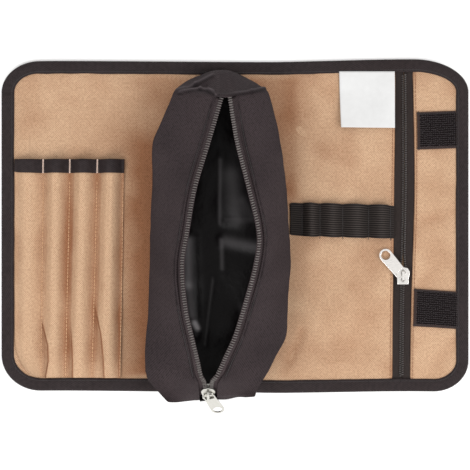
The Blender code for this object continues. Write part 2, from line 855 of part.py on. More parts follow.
def tab_mesh():
    """The pull tab: a plate with a window round the bridge and a round hole at its far end."""
    half, root = TAB_WIDTH / 2, TAB_ROOT_WIDTH / 2
    tip_y = TAB_REACH - half
    outer = [(half * math.cos(a), tip_y + half * math.sin(a)) for a in spread(0, math.pi, 12)]
    outer += [(-root, TAB_WINDOW), (-root, TAB_BAR), (-root * 0.72, -TAB_BAR / 2)]
    outer += [(root * 0.72, -TAB_BAR / 2), (root, TAB_BAR), (root, TAB_WINDOW)]
    window = [
        (-root + TAB_RAIL, TAB_BAR / 2),
        (root - TAB_RAIL, TAB_BAR / 2),
        (root - TAB_RAIL, TAB_WINDOW),
        (-root + TAB_RAIL, TAB_WINDOW),
    ]
    turn = spread(0, 2 * math.pi, 16)[:-1]
    hole = [(TAB_HOLE_RADIUS * math.cos(a), tip_y + TAB_HOLE_RADIUS * math.sin(a)) for a in turn]
    flat = bpy.data.curves.new("pull_tab", "CURVE")
    flat.dimensions = "2D"
    flat.fill_mode = "BOTH"
    flat.extrude = TAB_THICKNESS / 2
    for ring in (outer, window, hole):
        spline = flat.splines.new("POLY")
        spline.points.add(len(ring) - 1)
        spline.use_cyclic_u = True
        for point, (x, y) in zip(spline.points, ring):
            point.co = (x, y, 0.0, 1.0)
    blank = bpy.data.objects.new("tab_blank", flat)
    bpy.context.scene.collection.objects.link(blank)
    weld = blank.modifiers.new("weld", "WELD")
    weld.merge_threshold = 0.000001
    bpy.context.view_layer.update()
    graph = bpy.context.evaluated_depsgraph_get()
    mesh = bpy.data.meshes.new_from_object(blank.evaluated_get(graph))
    mesh.name = "pull_tab"
    mesh.materials.clear()
    mesh.materials.append(nickel())
    bpy.data.objects.remove(blank, do_unlink=True)
    return mesh


def place_slider(name, tab_name, frame, yaw):
    """A slider on its chain, with its tab turned by yaw from the slider's nose."""
    slider = bpy.data.objects.new(name, SLIDER)
    slider.matrix_world = frame
    bpy.context.scene.collection.objects.link(slider)
    tab = bpy.data.objects.new(tab_name, TAB)
    turned = Matrix.Rotation(yaw, 4, "Z") @ Matrix.Rotation(-TAB_DROOP, 4, "X")
    tab.matrix_world = frame @ Matrix.Translation((0, 0, tab_height())) @ turned
    bpy.context.scene.collection.objects.link(tab)
    pivot = tab.matrix_world.translation
    axis = tab.matrix_world.to_3x3() @ Vector((1, 0, 0))
    print(f"{tab_name} pivot {[round(v, 5) for v in pivot]} axis {[round(v, 5) for v in axis]}")


# The pouch


def rim_y(share):
    return POUCH_RIM_START - POUCH_LENGTH * share


def base_y(share):
    return POUCH_BASE_START - POUCH_BASE_LENGTH * share


def section_point(share, part, side):
    """A corner of the pouch's section: its base, shoulder or mouth, to the left or right."""
    if part == "mouth" and MOUTH_STRAIGHT < share < 1:
        start = section_point(MOUTH_STRAIGHT, part, side)
        end = section_point(1.0, part, side)
        return start.lerp(end, (share - MOUTH_STRAIGHT) / (1 - MOUTH_STRAIGHT))
    x = POUCH_X + POUCH_WIDTH * along(POUCH_SECTIONS, f"{part}_{side}", share)
    if part == "base":
        return Vector((x, base_y(share), on_lining(x, base_y(share))))
    height = POUCH_HEIGHT * along(POUCH_SECTIONS, f"{part}_z", share)
    slip = "slip_m" if part == "mouth" else f"slip_{side}"
    y = rim_y(share) + POUCH_HEIGHT * along(POUCH_SECTIONS, slip, share)
    return Vector((x, y, POUCH_SEAT + height))


def top_panel(share, side, steps=3):
    """Points from the mouth's edge to the shoulder."""
    mouth, shoulder = section_point(share, "mouth", side), section_point(share, "shoulder", side)
    crown = Vector((0, 0, TOP_PANEL_CROWN * along(POUCH_SECTIONS, "crown", share)))
    return [mouth.lerp(shoulder, t) + crown * 4 * t * (1 - t) for t in spread(0, 1, steps)]


def side_wall(share, side, steps=4):
    """Points from the shoulder down to the base."""
    shoulder, base = section_point(share, "shoulder", side), section_point(share, "base", side)
    outwards = Vector((-1 if side == "l" else 1, 0, 0))
    swell = SIDE_BULGE * (0.4 + 0.6 * math.sin(math.pi * share))
    return [
        shoulder.lerp(base, t) + outwards * swell * math.sin(math.pi * t)
        for t in spread(0, 1, steps)
    ]


def pouch_section(share, base_steps=8):
    """The pouch's section from the mouth's left edge, round its base, to the mouth's right edge."""
    base = [
        section_point(share, "base", "l").lerp(section_point(share, "base", "r"), t)
        for t in spread(0, 1, base_steps)
    ]
    left = top_panel(share, "l") + side_wall(share, "l")[1:]
    right = top_panel(share, "r") + side_wall(share, "r")[1:]
    return left + base[1:-1] + right[::-1]


def end_wall(share, bulge):
    """An end wall as columns from left to right, each from the top edge down to the base.

    It bulges most low down, by bulge, which is negative at the foot.
    """
    left, right = top_panel(share, "l"), top_panel(share, "r")
    gap = [left[0].lerp(right[0], 0.5)]
    top = left[::-1] + gap + right
    foot = [
        section_point(share, "base", "l").lerp(section_point(share, "base", "r"), t)
        for t in spread(0, 1, len(top) - 1)
    ]
    west, east = side_wall(share, "l"), side_wall(share, "r")
    columns = []
    for i, a in enumerate(spread(0, 1, len(top) - 1)):
        column = []
        for j, b in enumerate(spread(0, 1, len(west) - 1)):
            edges = top[i] * (1 - b) + foot[i] * b + west[j] * (1 - a) + east[j] * a
            corners = (top[0] * (1 - a) + top[-1] * a) * (1 - b)
            corners += (foot[0] * (1 - a) + foot[-1] * a) * b
            swell = bulge * math.sin(math.pi * a) * math.sin(math.pi * b * b)
            column.append(edges - corners + Vector((0, swell, 0)))
        columns.append(column)
    return columns


def build_pouch():
    """The pouch's cloth as one sheet, open at the mouth and given its wall inwards."""
    head = [0, 0.03, 0.06, 0.09]
    foot = [0.86, 0.895, MOUTH_BEND, MOUTH_STRAIGHT, POUCH_SLIDER_ALONG, 1]
    shares = head + spread(0.13, 0.81, 11) + foot
    columns = [pouch_section(share) for share in shares]
    rows = len(columns[0])
    points = [p for column in columns for p in column]
    faces = grid_faces(len(columns), rows)
    for share, bulge in ((0.0, TOP_END_BULGE), (1.0, -FOOT_END_BULGE)):
        wall = end_wall(share, bulge)
        faces += grid_faces(len(wall), len(wall[0]), len(points))
        points += [p for column in wall for p in column]
    pouch = add_mesh("pouch_shell", points, faces, black_cloth())
    merge_close(pouch.data)
    if lowest_normal(pouch.data) > 0:
        pouch.data.flip_normals()
    return thicken(pouch, POUCH_WALL, -1)


def merge_close(mesh):
    """Joins the sheet and its end walls where they meet."""
    work = bmesh.new()
    work.from_mesh(mesh)
    bmesh.ops.remove_doubles(work, verts=work.verts, dist=0.00002)
    bmesh.ops.recalc_face_normals(work, faces=work.faces)
    work.to_mesh(mesh)
    work.free()


def lowest_normal(mesh):
    """The upward part of the normal of the face that lies lowest."""
    lowest = min(mesh.polygons, key=lambda face: face.center.z)
    return lowest.normal.z


def levelling(share):
    """How far the mouth's tapes have turned level: 0 along the mouth, 1 at its foot."""
    return ease((share - MOUTH_LEVEL) / (MOUTH_BEND - MOUTH_LEVEL))


def mouth_frame(share, side):
    """The mouth's edge at this share, its direction into the mouth and its outward normal."""
    step = 0.004
    near, far = max(share - step, 0.0), min(share + step, 1.0)
    ahead = (section_point(near, "mouth", side) - section_point(far, "mouth", side)).normalized()
    edge, inner = top_panel(share, side)[:2]
    across = (edge - inner).normalized()
    level = Vector((1 if side == "l" else -1, 0, 0))
    across = across.lerp(level, levelling(share))
    across = (across - ahead * across.dot(ahead)).normalized()
    normal = across.cross(ahead) if side == "l" else ahead.cross(across)
    return edge, across, normal, ahead


def tape_drop():
    """How far the tape's underside lies below the pouch cloth's outer face."""
    return POUCH_WALL + 2 * CLEARANCE + TAPE


def build_pouch_zip():
    """The stringers along the mouth, wide open but for their foot in the slider."""
    for side, name in (("l", "pouch_stringer_left"), ("r", "pouch_stringer_right")):
        sections = []
        for share in [*spread(TAPE_START, MOUTH_BEND, 24), *spread(MOUTH_STRAIGHT, TAPE_END, 4)]:
            edge, across, normal, _ = mouth_frame(share, side)
            inner = edge + across * MOUTH_TO_COIL - normal * tape_drop()
            reach = MOUTH_TO_COIL + MOUTH_FLANGE * mix(1, END_FLANGE, levelling(share))
            sections.append(stringer_section(inner, -across, normal, reach))
        face_outwards(sweep(name, sections, zip_coil()))


def pouch_slider_frame():
    """The slider's frame: x across the zip, y up to the open end, origin at the tapes' underside."""
    edge_l, _, normal, ahead = mouth_frame(POUCH_SLIDER_ALONG, "l")
    edge_r = mouth_frame(POUCH_SLIDER_ALONG, "r")[0]
    ahead = (ahead + mouth_frame(POUCH_SLIDER_ALONG, "r")[3]).normalized()
    side = Vector((1, 0, 0))
    side = (side - ahead * side.dot(ahead)).normalized()
    normal = side.cross(ahead)
    origin = (edge_l + edge_r) / 2 - normal * tape_drop()
    frame = Matrix((side, ahead, normal)).transposed().to_4x4()
    frame.translation = origin
    return frame


# Patches and label


def flat_piece(name, corner_xy, width, depth, thickness, tilt, finish, rise):
    """A thin rectangle on the lining, tilted in plan, with rise adding to its height."""
    columns = []
    for a in spread(0, 1, 9):
        column = []
        for b in spread(0, 1, 4):
            x = corner_xy[0] + a * width - b * depth * tilt / 3
            y = corner_xy[1] + b * depth + a * width * tilt
            column.append((x, y, on_lining(x, y) + CLEARANCE + rise(a, b)))
        columns.append(column)
    return cloth(name, columns, thickness, finish)


def build_patches():
    limit = PANEL_WIDTH / 2 - BINDING_WIDTH - EDGE_KEEP
    for patch, name in zip(PATCHES, ("hook_patch_upper", "hook_patch_lower")):
        start = (patch["across"] * PANEL_WIDTH, patch["up"] * PANEL_DEPTH)
        width = min(PATCH_WIDTH, limit - start[0] - PATCH_DEPTH * abs(patch["tilt"]) / 3)
        flat_piece(
            name, start, width, PATCH_DEPTH, PATCH_THICKNESS, patch["tilt"], black_tape(), lambda a, b: 0.0
        )


def build_label():
    """A folded label sewn in at the bound edge, its lower corner curling up."""
    right = zip_middle(PANEL_DEPTH / 3) - zip_half(PANEL_DEPTH / 3) - CLEARANCE
    left = right - LABEL_WIDTH
    top = min(edge_y(1, left, BINDING_WIDTH), edge_y(1, right, BINDING_WIDTH)) - EDGE_KEEP
    finish = material("label_satin", (0.88, 0.88, 0.87), 0.5)

    def curl(a, b):
        return LABEL_CURL * (1 - b) ** 2 * (1 - a)

    start = (left, top - LABEL_LENGTH)
    flat_piece("blank_label", start, LABEL_WIDTH, LABEL_LENGTH, LABEL_THICKNESS, 0.0, finish, curl)


clear_scene()
build_back()
build_lining()
build_binding()
build_channels()
build_channel_tape()
build_elastic()
build_long_zip()
build_pouch()
build_pouch_zip()
build_patches()
build_label()
SLIDER = slider_mesh()
TAB = tab_mesh()
long_frame = Matrix.Translation((zip_middle(LONG_SLIDER_Y), LONG_SLIDER_Y, ZIP_TAPE_Z))
place_slider("long_zip_slider", "long_zip_tab", long_frame, LONG_TAB_YAW)
place_slider("pouch_zip_slider", "pouch_zip_tab", pouch_slider_frame(), math.pi + POUCH_TAB_YAW)
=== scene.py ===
# %% [markdown]
# # A tool roll, dressed for its picture
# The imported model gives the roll's solids: a bound panel, four tool channels, a standing zip pouch, an
# elastic, a long zip, two hook patches and a label. This script lays cloth, tape, thread and metal over
# them. Lengths are in metres, +Z is up, +X is to the roll's right and +Y is to its top edge.

# %% Load the frame
import math

import bmesh
import bpy
import numpy as np
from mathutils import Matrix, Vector
from mathutils.bvhtree import BVHTree


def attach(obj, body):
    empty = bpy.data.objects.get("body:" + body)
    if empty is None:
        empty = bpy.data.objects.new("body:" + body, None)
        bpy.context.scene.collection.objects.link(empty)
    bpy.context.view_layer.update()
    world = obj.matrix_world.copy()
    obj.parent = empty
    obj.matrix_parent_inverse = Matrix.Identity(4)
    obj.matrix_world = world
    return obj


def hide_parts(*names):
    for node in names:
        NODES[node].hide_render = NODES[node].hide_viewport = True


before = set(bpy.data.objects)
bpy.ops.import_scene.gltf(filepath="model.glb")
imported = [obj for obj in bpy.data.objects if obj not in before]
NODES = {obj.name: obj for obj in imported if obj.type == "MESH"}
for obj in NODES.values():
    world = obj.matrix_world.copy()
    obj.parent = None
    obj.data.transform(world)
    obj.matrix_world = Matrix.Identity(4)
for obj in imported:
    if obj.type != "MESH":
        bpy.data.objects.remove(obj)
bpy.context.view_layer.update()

# %% [markdown]
# ## Camera, light and floor
# The roll lies on a white table and the camera looks straight down at it, from far enough away that
# the standing pouch hardly leans outwards. A long lens at 1.3 m does that. Most of the light is an even
# white surround, which leaves hollows dark and throws no hard shadow on the table. A soft box on the
# left gives every fold a light side, and a weaker one at the lower right keeps its other side open.

# %% Camera
MM = 0.001
CAMERA_HEIGHT = 1.300
CAMERA_Y = -0.0073
FRAME_WIDTH = 0.4034
SENSOR = 36.0

scene = bpy.context.scene
lens = bpy.data.cameras.new("camera")
lens.sensor_width = SENSOR
lens.lens = SENSOR * CAMERA_HEIGHT / FRAME_WIDTH
camera = bpy.data.objects.new("camera", lens)
camera.location = (0.0, CAMERA_Y, CAMERA_HEIGHT)
scene.collection.objects.link(camera)
scene.camera = camera
scene.view_settings.view_transform = "Standard"
print("lens", round(lens.lens, 1), "mm")

# %% Light
SURROUND = 1.0
SOFT_BOXES = (("key", 10.0, (-0.65, -0.85, 1.00)), ("fill", 10.0, (1.00, -0.40, 1.00)))
BOX_SIZE = 0.8

world = bpy.data.worlds.new("surround")
world.use_nodes = True
world.node_tree.nodes["Background"].inputs["Color"].default_value = (1.0, 0.995, 0.985, 1.0)
world.node_tree.nodes["Background"].inputs["Strength"].default_value = SURROUND
scene.world = world
for name, power, place in SOFT_BOXES:
    soft_box = bpy.data.lights.new(name, "AREA")
    soft_box.shape = "SQUARE"
    soft_box.size = BOX_SIZE
    soft_box.energy = power
    light = bpy.data.objects.new(name, soft_box)
    light.location = place
    light.rotation_euler = (-Vector(place)).to_track_quat("-Z", "Y").to_euler()
    scene.collection.objects.link(light)

# %% [markdown]
# ## Adding nodes and mixing colours
# Every finish below is a small node tree. One function adds a node, sets its properties and either
# gives each input a value or links it. Colours are written as the hex values that a screen shows, and
# turned to the linear values that light is worked out in.


# %% Node and colour helpers
def hex_to_linear(code):
    """A screen colour such as #cba785 as linear red, green, blue and alpha."""
    parts = [int(code[i : i + 2], 16) / 255 for i in (1, 3, 5)]
    return tuple(p / 12.92 if p <= 0.04045 else ((p + 0.055) / 1.055) ** 2.4 for p in parts) + (1.0,)


def add_node(tree, kind, inputs=(), **settings):
    """A node with its settings, its inputs given as values or as the sockets that feed them."""
    node = tree.nodes.new(kind)
    for name, value in settings.items():
        setattr(node, name, value)
    for socket, value in dict(inputs).items():
        if isinstance(value, bpy.types.NodeSocket):
            tree.links.new(value, node.inputs[socket])
        else:
            node.inputs[socket].default_value = value
    return node


def new_material(name, **surface):
    """A material and its shader, with whole-surface values set on the shader's own sockets."""
    made = bpy.data.materials.new(name)
    made.use_nodes = True
    shader = made.node_tree.nodes["Principled BSDF"]
    for socket, value in surface.items():
        shader.inputs[socket.replace("_", " ")].default_value = value
    return made, made.node_tree, shader


# %% [markdown]
# ## Woven cloth
# Oxford cloth is a plain weave of paired threads: each crossing shows a small pillow of warp or of
# weft, in turn. The sine of the place across the warp times the sine of the place along it is just
# that: a chequer of rounded pillows whose sign says which thread lies on top. Its size drives the
# bump, and its sign a slight change of tone. Real threads here are about 0.5 mm apart, which is finer
# than a pixel of the picture, so they are drawn about twice as coarse. A fine noise makes threads
# differ, and a broad one warms and darkens the cloth in soft random patches. A piece's own attribute,
# called fold, darkens it the same way as painted shade, along its seams and creases and in hollows.
# Where that attribute is below zero, it takes the broad darkening away: a painted highlight.


# %% Weave pattern and cloth materials
# Tones that the random mottle and the painted shade of the fold attribute multiply cloth by
SHADE_AND_MOTTLE_TINT = (0.55, 0.38, 0.30, 1.0)
BLACK_SHADE_AND_MOTTLE_TINT = (0.34, 0.30, 0.32, 1.0)


def woven_cloth(name, light, dark, spacing, relief, roughness, sheen=0.0, squash=1.0, mottle=0.20, tint=SHADE_AND_MOTTLE_TINT):
    """Woven cloth. spacing is one thread's width, squash narrows the weft against the warp."""
    made, tree, shader = new_material(name, Roughness=roughness, Sheen_Weight=sheen)
    shader.inputs["Sheen Roughness"].default_value = 0.5
    shader.inputs["Specular IOR Level"].default_value = 0.14
    place = add_node(tree, "ShaderNodeUVMap", uv_map="cloth")
    stray = add_node(tree, "ShaderNodeTexNoise", {"Vector": place.outputs[0], "Scale": 90.0})
    bent = add_node(
        tree,
        "ShaderNodeVectorMath",
        {0: stray.outputs["Color"], 1: (spacing * 0.9,) * 3, 2: place.outputs[0]},
        operation="MULTIPLY_ADD",
    )
    turns = add_node(
        tree,
        "ShaderNodeVectorMath",
        {0: bent.outputs[0], 1: (math.pi / spacing, math.pi / (spacing * squash), 0.0)},
        operation="MULTIPLY",
    )
    parts = add_node(tree, "ShaderNodeSeparateXYZ", {0: turns.outputs[0]})
    warp = add_node(tree, "ShaderNodeMath", {0: parts.outputs[0]}, operation="SINE")
    weft = add_node(tree, "ShaderNodeMath", {0: parts.outputs[1]}, operation="SINE")
    crossing = add_node(tree, "ShaderNodeMath", {0: warp.outputs[0], 1: weft.outputs[0]}, operation="MULTIPLY")
    pillow = add_node(tree, "ShaderNodeMath", {0: crossing.outputs[0]}, operation="ABSOLUTE")
    fleck = add_node(
        tree, "ShaderNodeTexNoise", {"Vector": place.outputs[0], "Scale": 0.5 / spacing, "Detail": 3.0}
    )
    shade = add_node(
        tree, "ShaderNodeMapRange", {0: crossing.outputs[0], 1: -1.0, 2: 1.0, 3: -0.25, 4: 0.55}
    )
    blend = add_node(tree, "ShaderNodeMath", {0: fleck.outputs[0], 1: shade.outputs[0]}, operation="ADD")
    thread = add_node(
        tree,
        "ShaderNodeMix",
        {0: blend.outputs[0], 6: hex_to_linear(dark), 7: hex_to_linear(light)},
        data_type="RGBA",
    )
    handled = add_node(
        tree, "ShaderNodeTexNoise", {"Vector": place.outputs[0], "Scale": 24.0, "Detail": 2.0}
    )
    spots = add_node(
        tree, "ShaderNodeMapRange", {0: handled.outputs[0], 1: 0.40, 2: 0.66, 3: 0.0, 4: mottle}
    )
    # The fold attribute is painted shade: it darkens and reddens cloth along seams, creases and hollows
    folded = add_node(tree, "ShaderNodeAttribute", attribute_name="fold")
    amount = add_node(
        tree, "ShaderNodeMath", {0: spots.outputs[0], 1: folded.outputs["Fac"]}, operation="ADD"
    )
    colour = add_node(
        tree,
        "ShaderNodeMix",
        {0: amount.outputs[0], 6: thread.outputs[2], 7: tint},
        data_type="RGBA",
        blend_type="MULTIPLY",
    )
    bump = add_node(
        tree,
        "ShaderNodeBump",
        {"Height": pillow.outputs[0], "Distance": relief, "Strength": 1.0},
    )
    tree.links.new(colour.outputs[2], shader.inputs["Base Color"])
    tree.links.new(bump.outputs[0], shader.inputs["Normal"])
    return made


TAN_OXFORD = woven_cloth("tan_oxford", "#d3b192", "#926c4f", 0.95 * MM, 0.33 * MM, 0.9, mottle=0.36)
BLACK_OXFORD = woven_cloth(
    "black_oxford", "#403638", "#0c090a", 1.0 * MM, 0.35 * MM, 0.7, mottle=0.40, tint=BLACK_SHADE_AND_MOTTLE_TINT
)
# Edge tape is a flat plain weave: close ribs run across it, one pick of weft each.
EDGE_TAPE = woven_cloth(
    "edge_tape", "#322a2b", "#0e0b0b", 1.6 * MM, 0.16 * MM, 0.7, squash=0.5
)
ZIP_TAPE = woven_cloth("zip_tape", "#322a28", "#100c0b", 0.9 * MM, 0.12 * MM, 0.7, squash=0.7)

# The pouch's zip tape is the same weave in the paler grey of its cloth
POUCH_TAPE = woven_cloth("pouch_zip_tape", "#4a4042", "#171213", 0.9 * MM, 0.12 * MM, 0.7, squash=0.7)

# %% [markdown]
# ## Coating, elastic, nylon, hook tape, satin, thread and nickel
# The pouch's cloth is coated on its inside with polyurethane, which is smooth and shines. Elastic is
# knitted in cords that run along it. A coil zip is nylon monofilament, dyed black, with a soft gloss.
# Hook tape is nylon as well. The label is white satin, where long floats of thread give a silky
# sheen. The sliders and tabs are cast zinc with bright nickel plating, faintly brushed in use.


# %% Plain and noisy materials
def noisy_material(name, light, dark, grain, relief, stretch=(1.0, 1.0, 1.0), **surface):
    """A surface whose tone and height follow one noise. grain is the size of its spots."""
    made, tree, shader = new_material(name, **surface)
    place = add_node(tree, "ShaderNodeTexCoord")
    stretched = add_node(tree, "ShaderNodeMapping", {"Vector": place.outputs["Object"], "Scale": stretch})
    noise = add_node(
        tree, "ShaderNodeTexNoise", {"Vector": stretched.outputs[0], "Scale": 1 / grain, "Detail": 3.0}
    )
    colour = add_node(
        tree,
        "ShaderNodeMix",
        {0: noise.outputs[0], 6: hex_to_linear(dark), 7: hex_to_linear(light)},
        data_type="RGBA",
    )
    bump = add_node(
        tree, "ShaderNodeBump", {"Height": noise.outputs[0], "Distance": relief, "Strength": 1.0}
    )
    tree.links.new(colour.outputs[2], shader.inputs["Base Color"])
    tree.links.new(bump.outputs[0], shader.inputs["Normal"])
    return made


def paint_highlight_by_attribute(made, light):
    """Mixes a lighter tone in by the piece's own attribute: a painted highlight or painted sheen."""
    tree = made.node_tree
    socket = tree.nodes["Principled BSDF"].inputs["Base Color"]
    before = socket.links[0].from_socket
    painted_highlight = add_node(tree, "ShaderNodeAttribute", attribute_name="painted_highlight")
    colour = add_node(
        tree,
        "ShaderNodeMix",
        {0: painted_highlight.outputs["Fac"], 6: before, 7: hex_to_linear(light)},
        data_type="RGBA",
    )
    tree.links.new(colour.outputs[2], socket)
    return made


# Painted highlight: the outer cloth is drawn paler along the crests of its creases
paint_highlight_by_attribute(BLACK_OXFORD, "#6b6265")

def paint_shade_in_recesses(made, dark, reach):
    """Painted shade: mixes a dark tone in where the surface has walls of its own within reach."""
    tree = made.node_tree
    socket = tree.nodes["Principled BSDF"].inputs["Base Color"]
    before = socket.links[0].from_socket
    openness = add_node(tree, "ShaderNodeAmbientOcclusion", {"Distance": reach}, only_local=True)
    sharper = add_node(tree, "ShaderNodeMapRange", {0: openness.outputs["AO"], 1: 0.35, 2: 0.92})
    colour = add_node(
        tree,
        "ShaderNodeMix",
        {0: sharper.outputs[0], 6: hex_to_linear(dark), 7: before},
        data_type="RGBA",
    )
    tree.links.new(colour.outputs[2], socket)
    return made


COATING = noisy_material(
    "coated_inside", "#0b0708", "#030102", 5 * MM, 0.4 * MM, Roughness=0.4, Specular_IOR_Level=0.11
)
# Painted sheen: the coating is drawn grey on the crests of its folds inside the pouch
paint_highlight_by_attribute(COATING, "#868284")
ELASTIC = noisy_material(
    "elastic_cords",
    "#1c1716",
    "#0d0a09",
    0.8 * MM,
    0.06 * MM,
    stretch=(0.3, 1.0, 1.0),
    Roughness=0.75,
    Specular_IOR_Level=0.15,
)
# Painted highlight: the elastic is drawn paler on the crests of its ribs
paint_highlight_by_attribute(ELASTIC, "#433c39")
COIL_NYLON = noisy_material(
    "coil_nylon", "#7f7976", "#403b39", 2 * MM, 0.02 * MM, Roughness=0.32, IOR=1.53
)
DARK_NYLON = noisy_material(
    "dark_coil_nylon", "#5c5654", "#2e2a29", 2 * MM, 0.02 * MM, Roughness=0.32, IOR=1.53
)
HOOK_NYLON = noisy_material("hook_nylon", "#4c4446", "#181415", 1 * MM, 0.03 * MM, Roughness=0.5)
HOOK_GROUND = noisy_material(
    "hook_ground", "#1e1819", "#0b0809", 1 * MM, 0.05 * MM, Roughness=0.9, Specular_IOR_Level=0.1
)
SELVAGE = noisy_material(
    "hook_selvage", "#4a3a36", "#261c1a", 0.7 * MM, 0.08 * MM, Roughness=0.85, Specular_IOR_Level=0.15
)
SATIN = noisy_material(
    "label_satin", "#cccccc", "#c1c1c1", 6 * MM, 0.10 * MM, Roughness=0.42
)
TAN_THREAD = noisy_material("tan_thread", "#dcb590", "#b68a66", 0.5 * MM, 0.05 * MM, Roughness=0.6)
# Painted shade: this thread is drawn browner than the tan cloth, for its needle holes' shadow
BROWN_THREAD = noisy_material("brown_thread", "#9a6c4c", "#74492f", 0.5 * MM, 0.05 * MM, Roughness=0.6)
CREAM_THREAD = noisy_material("cream_thread", "#f3dccf", "#d9b7a5", 0.5 * MM, 0.05 * MM, Roughness=0.6)
BLACK_THREAD = noisy_material("black_thread", "#2b2526", "#151112", 0.5 * MM, 0.05 * MM, Roughness=0.5)
NICKEL = noisy_material(
    "nickel_plate",
    "#f2efec",
    "#d9d5d1",
    3 * MM,
    0.012 * MM,
    stretch=(1.0, 6.0, 1.0),
    Roughness=0.24,
    Metallic=1.0,
)
# The pouch's slider and pull get a darker, slightly yellower and rougher copy of the plating: the darker tone is
# painted shade
SHADED_NICKEL = noisy_material(
    "shaded_nickel_plate",
    "#cdccc6",
    "#aaa8a2",
    3 * MM,
    0.02 * MM,
    stretch=(1.0, 6.0, 1.0),
    Roughness=0.30,
    Metallic=1.0,
)
# Painted shade in the recesses of the sliders and tabs
paint_shade_in_recesses(NICKEL, "#38312e", 3 * MM)
paint_shade_in_recesses(SHADED_NICKEL, "#2b2422", 3 * MM)
TABLE_PAINT = noisy_material("table_paint", "#fdfdfd", "#fafafa", 40 * MM, 0.02 * MM, Roughness=0.9)

# %% Floor
FLOOR_HALF = 2.5
floor_mesh = bpy.data.meshes.new("table")
corners = [(x * FLOOR_HALF, y * FLOOR_HALF, -0.2 * MM) for x, y in ((-1, -1), (1, -1), (1, 1), (-1, 1))]
floor_mesh.from_pydata(corners, [], [(0, 1, 2, 3)])
floor_mesh.materials.append(TABLE_PAINT)
floor = bpy.data.objects.new("table", floor_mesh)
scene.collection.objects.link(floor)

# %% [markdown]
# ## Curves through short tables, and soft random relief
# The roll's outlines and sections are drawn as short tables of shares, with a smooth curve through
# their rows. Cloth is never quite flat either, so a soft random relief is needed too. It is made from
# a grid of random heights with smooth steps between them, and always from the same seed.


# %% Curves and relief
def table(names, *rows):
    """Rows of numbers as arrays, one for each column name."""
    return dict(zip(names.split(), np.array(rows, float).T))


def ease(t):
    """A smooth step from 0 to 1."""
    t = np.clip(t, 0.0, 1.0)
    return t * t * (3 - 2 * t)


def mix(a, b, t):
    return a + (b - a) * t


def along(rows, column, share):
    """The column's value at a share of the table's length, on a smooth curve through its rows."""
    spots, values = rows["along"], rows[column]
    slopes = np.gradient(values, spots, edge_order=1)
    slopes[1:-1] = (values[2:] - values[:-2]) / (spots[2:] - spots[:-2])
    share = np.asarray(share, float)
    i = np.clip(np.searchsorted(spots, share, side="right") - 1, 0, len(spots) - 2)
    span = spots[i + 1] - spots[i]
    t = (share - spots[i]) / span
    start = (2 * t**3 - 3 * t**2 + 1) * values[i] + (t**3 - 2 * t**2 + t) * span * slopes[i]
    end = (3 * t**2 - 2 * t**3) * values[i + 1] + (t**3 - t**2) * span * slopes[i + 1]
    return start + end


def relief(x, y, size, seed, turn=0.6):
    """Soft random heights from -1 to 1, with bumps about one size across."""
    cells = 48
    heights = np.random.default_rng(seed).uniform(-1, 1, (cells, cells))
    u = (x * math.cos(turn) + y * math.sin(turn)) / size + cells / 2
    v = (y * math.cos(turn) - x * math.sin(turn)) / size + cells / 2
    i, j = np.floor(u).astype(int), np.floor(v).astype(int)
    s, t = ease(u - i), ease(v - j)
    low = mix(heights[i % cells, j % cells], heights[(i + 1) % cells, j % cells], s)
    high = mix(heights[i % cells, (j + 1) % cells], heights[(i + 1) % cells, (j + 1) % cells], s)
    return mix(low, high, t)


def strokes(x, y, lines):
    """Soft strokes on the plan, each (start x, start y, end x, end y, width, amount) in millimetres."""
    total = np.zeros(np.shape(x))
    for x0, y0, x1, y1, width, amount in lines:
        span_x, span_y = (x1 - x0) * MM, (y1 - y0) * MM
        t = ((x - x0 * MM) * span_x + (y - y0 * MM) * span_y) / (span_x**2 + span_y**2)
        t = np.clip(t, 0, 1)
        away = np.hypot(x - x0 * MM - t * span_x, y - y0 * MM - t * span_y)
        total += amount * np.exp(-((away / (width * MM)) ** 2))
    return total


# %% [markdown]
# ## Sheets of cloth
# Nearly everything here is a sheet. A grid of points gives its shape, a UV map in metres says where
# each point lay on the flat cloth, so that the weave follows every fold, and a Solidify modifier gives
# it its real thickness.


# %% Sheet helpers
def grid_faces(columns, rows, start=0, around=False):
    """Quads of a grid whose points are stored column by column."""
    last = columns if around else columns - 1
    c, r = np.meshgrid(np.arange(last), np.arange(rows - 1), indexing="ij")
    near, far = c * rows + r, (c + 1) % columns * rows + r
    quads = np.stack([near, far, far + 1, near + 1], axis=-1).reshape(-1, 4) + start
    return quads.tolist()


def make_piece(name, points, faces, finish, uv=None):
    """An object with one smooth mesh. uv gives each point's place on the flat cloth."""
    mesh = bpy.data.meshes.new(name)
    mesh.from_pydata(np.asarray(points, float).reshape(-1, 3).tolist(), [], faces)
    mesh.materials.append(finish)
    if uv is not None:
        flat = np.asarray(uv, float).reshape(-1, 2)
        corners = np.empty(len(mesh.loops), dtype=np.int32)
        mesh.loops.foreach_get("vertex_index", corners)
        layer = mesh.uv_layers.new(name="cloth")
        layer.data.foreach_set("uv", flat[corners].ravel())
    mesh.shade_smooth()
    piece = bpy.data.objects.new(name, mesh)
    scene.collection.objects.link(piece)
    return piece


def flat_places(points):
    """UVs in metres for a grid: the length along its columns and along its rows."""
    across = np.linalg.norm(np.diff(points, axis=0), axis=-1)
    down = np.linalg.norm(np.diff(points, axis=1), axis=-1)
    u = np.concatenate([np.zeros((1, points.shape[1])), np.cumsum(across, axis=0)])
    v = np.concatenate([np.zeros((points.shape[0], 1)), np.cumsum(down, axis=1)], axis=1)
    return np.stack([u, v], axis=-1)


def cloth_piece(name, points, finish, thickness, offset=-1.0, uv=None):
    """A sheet with its thickness. Its grid faces up, and offset -1 thickens it downwards."""
    uv = flat_places(points) if uv is None else uv
    piece = make_piece(name, points, grid_faces(*points.shape[:2]), finish, uv)
    if piece.data.polygons[len(piece.data.polygons) // 2].normal.z < 0:
        piece.data.flip_normals()
    return thicken(piece, thickness, offset)


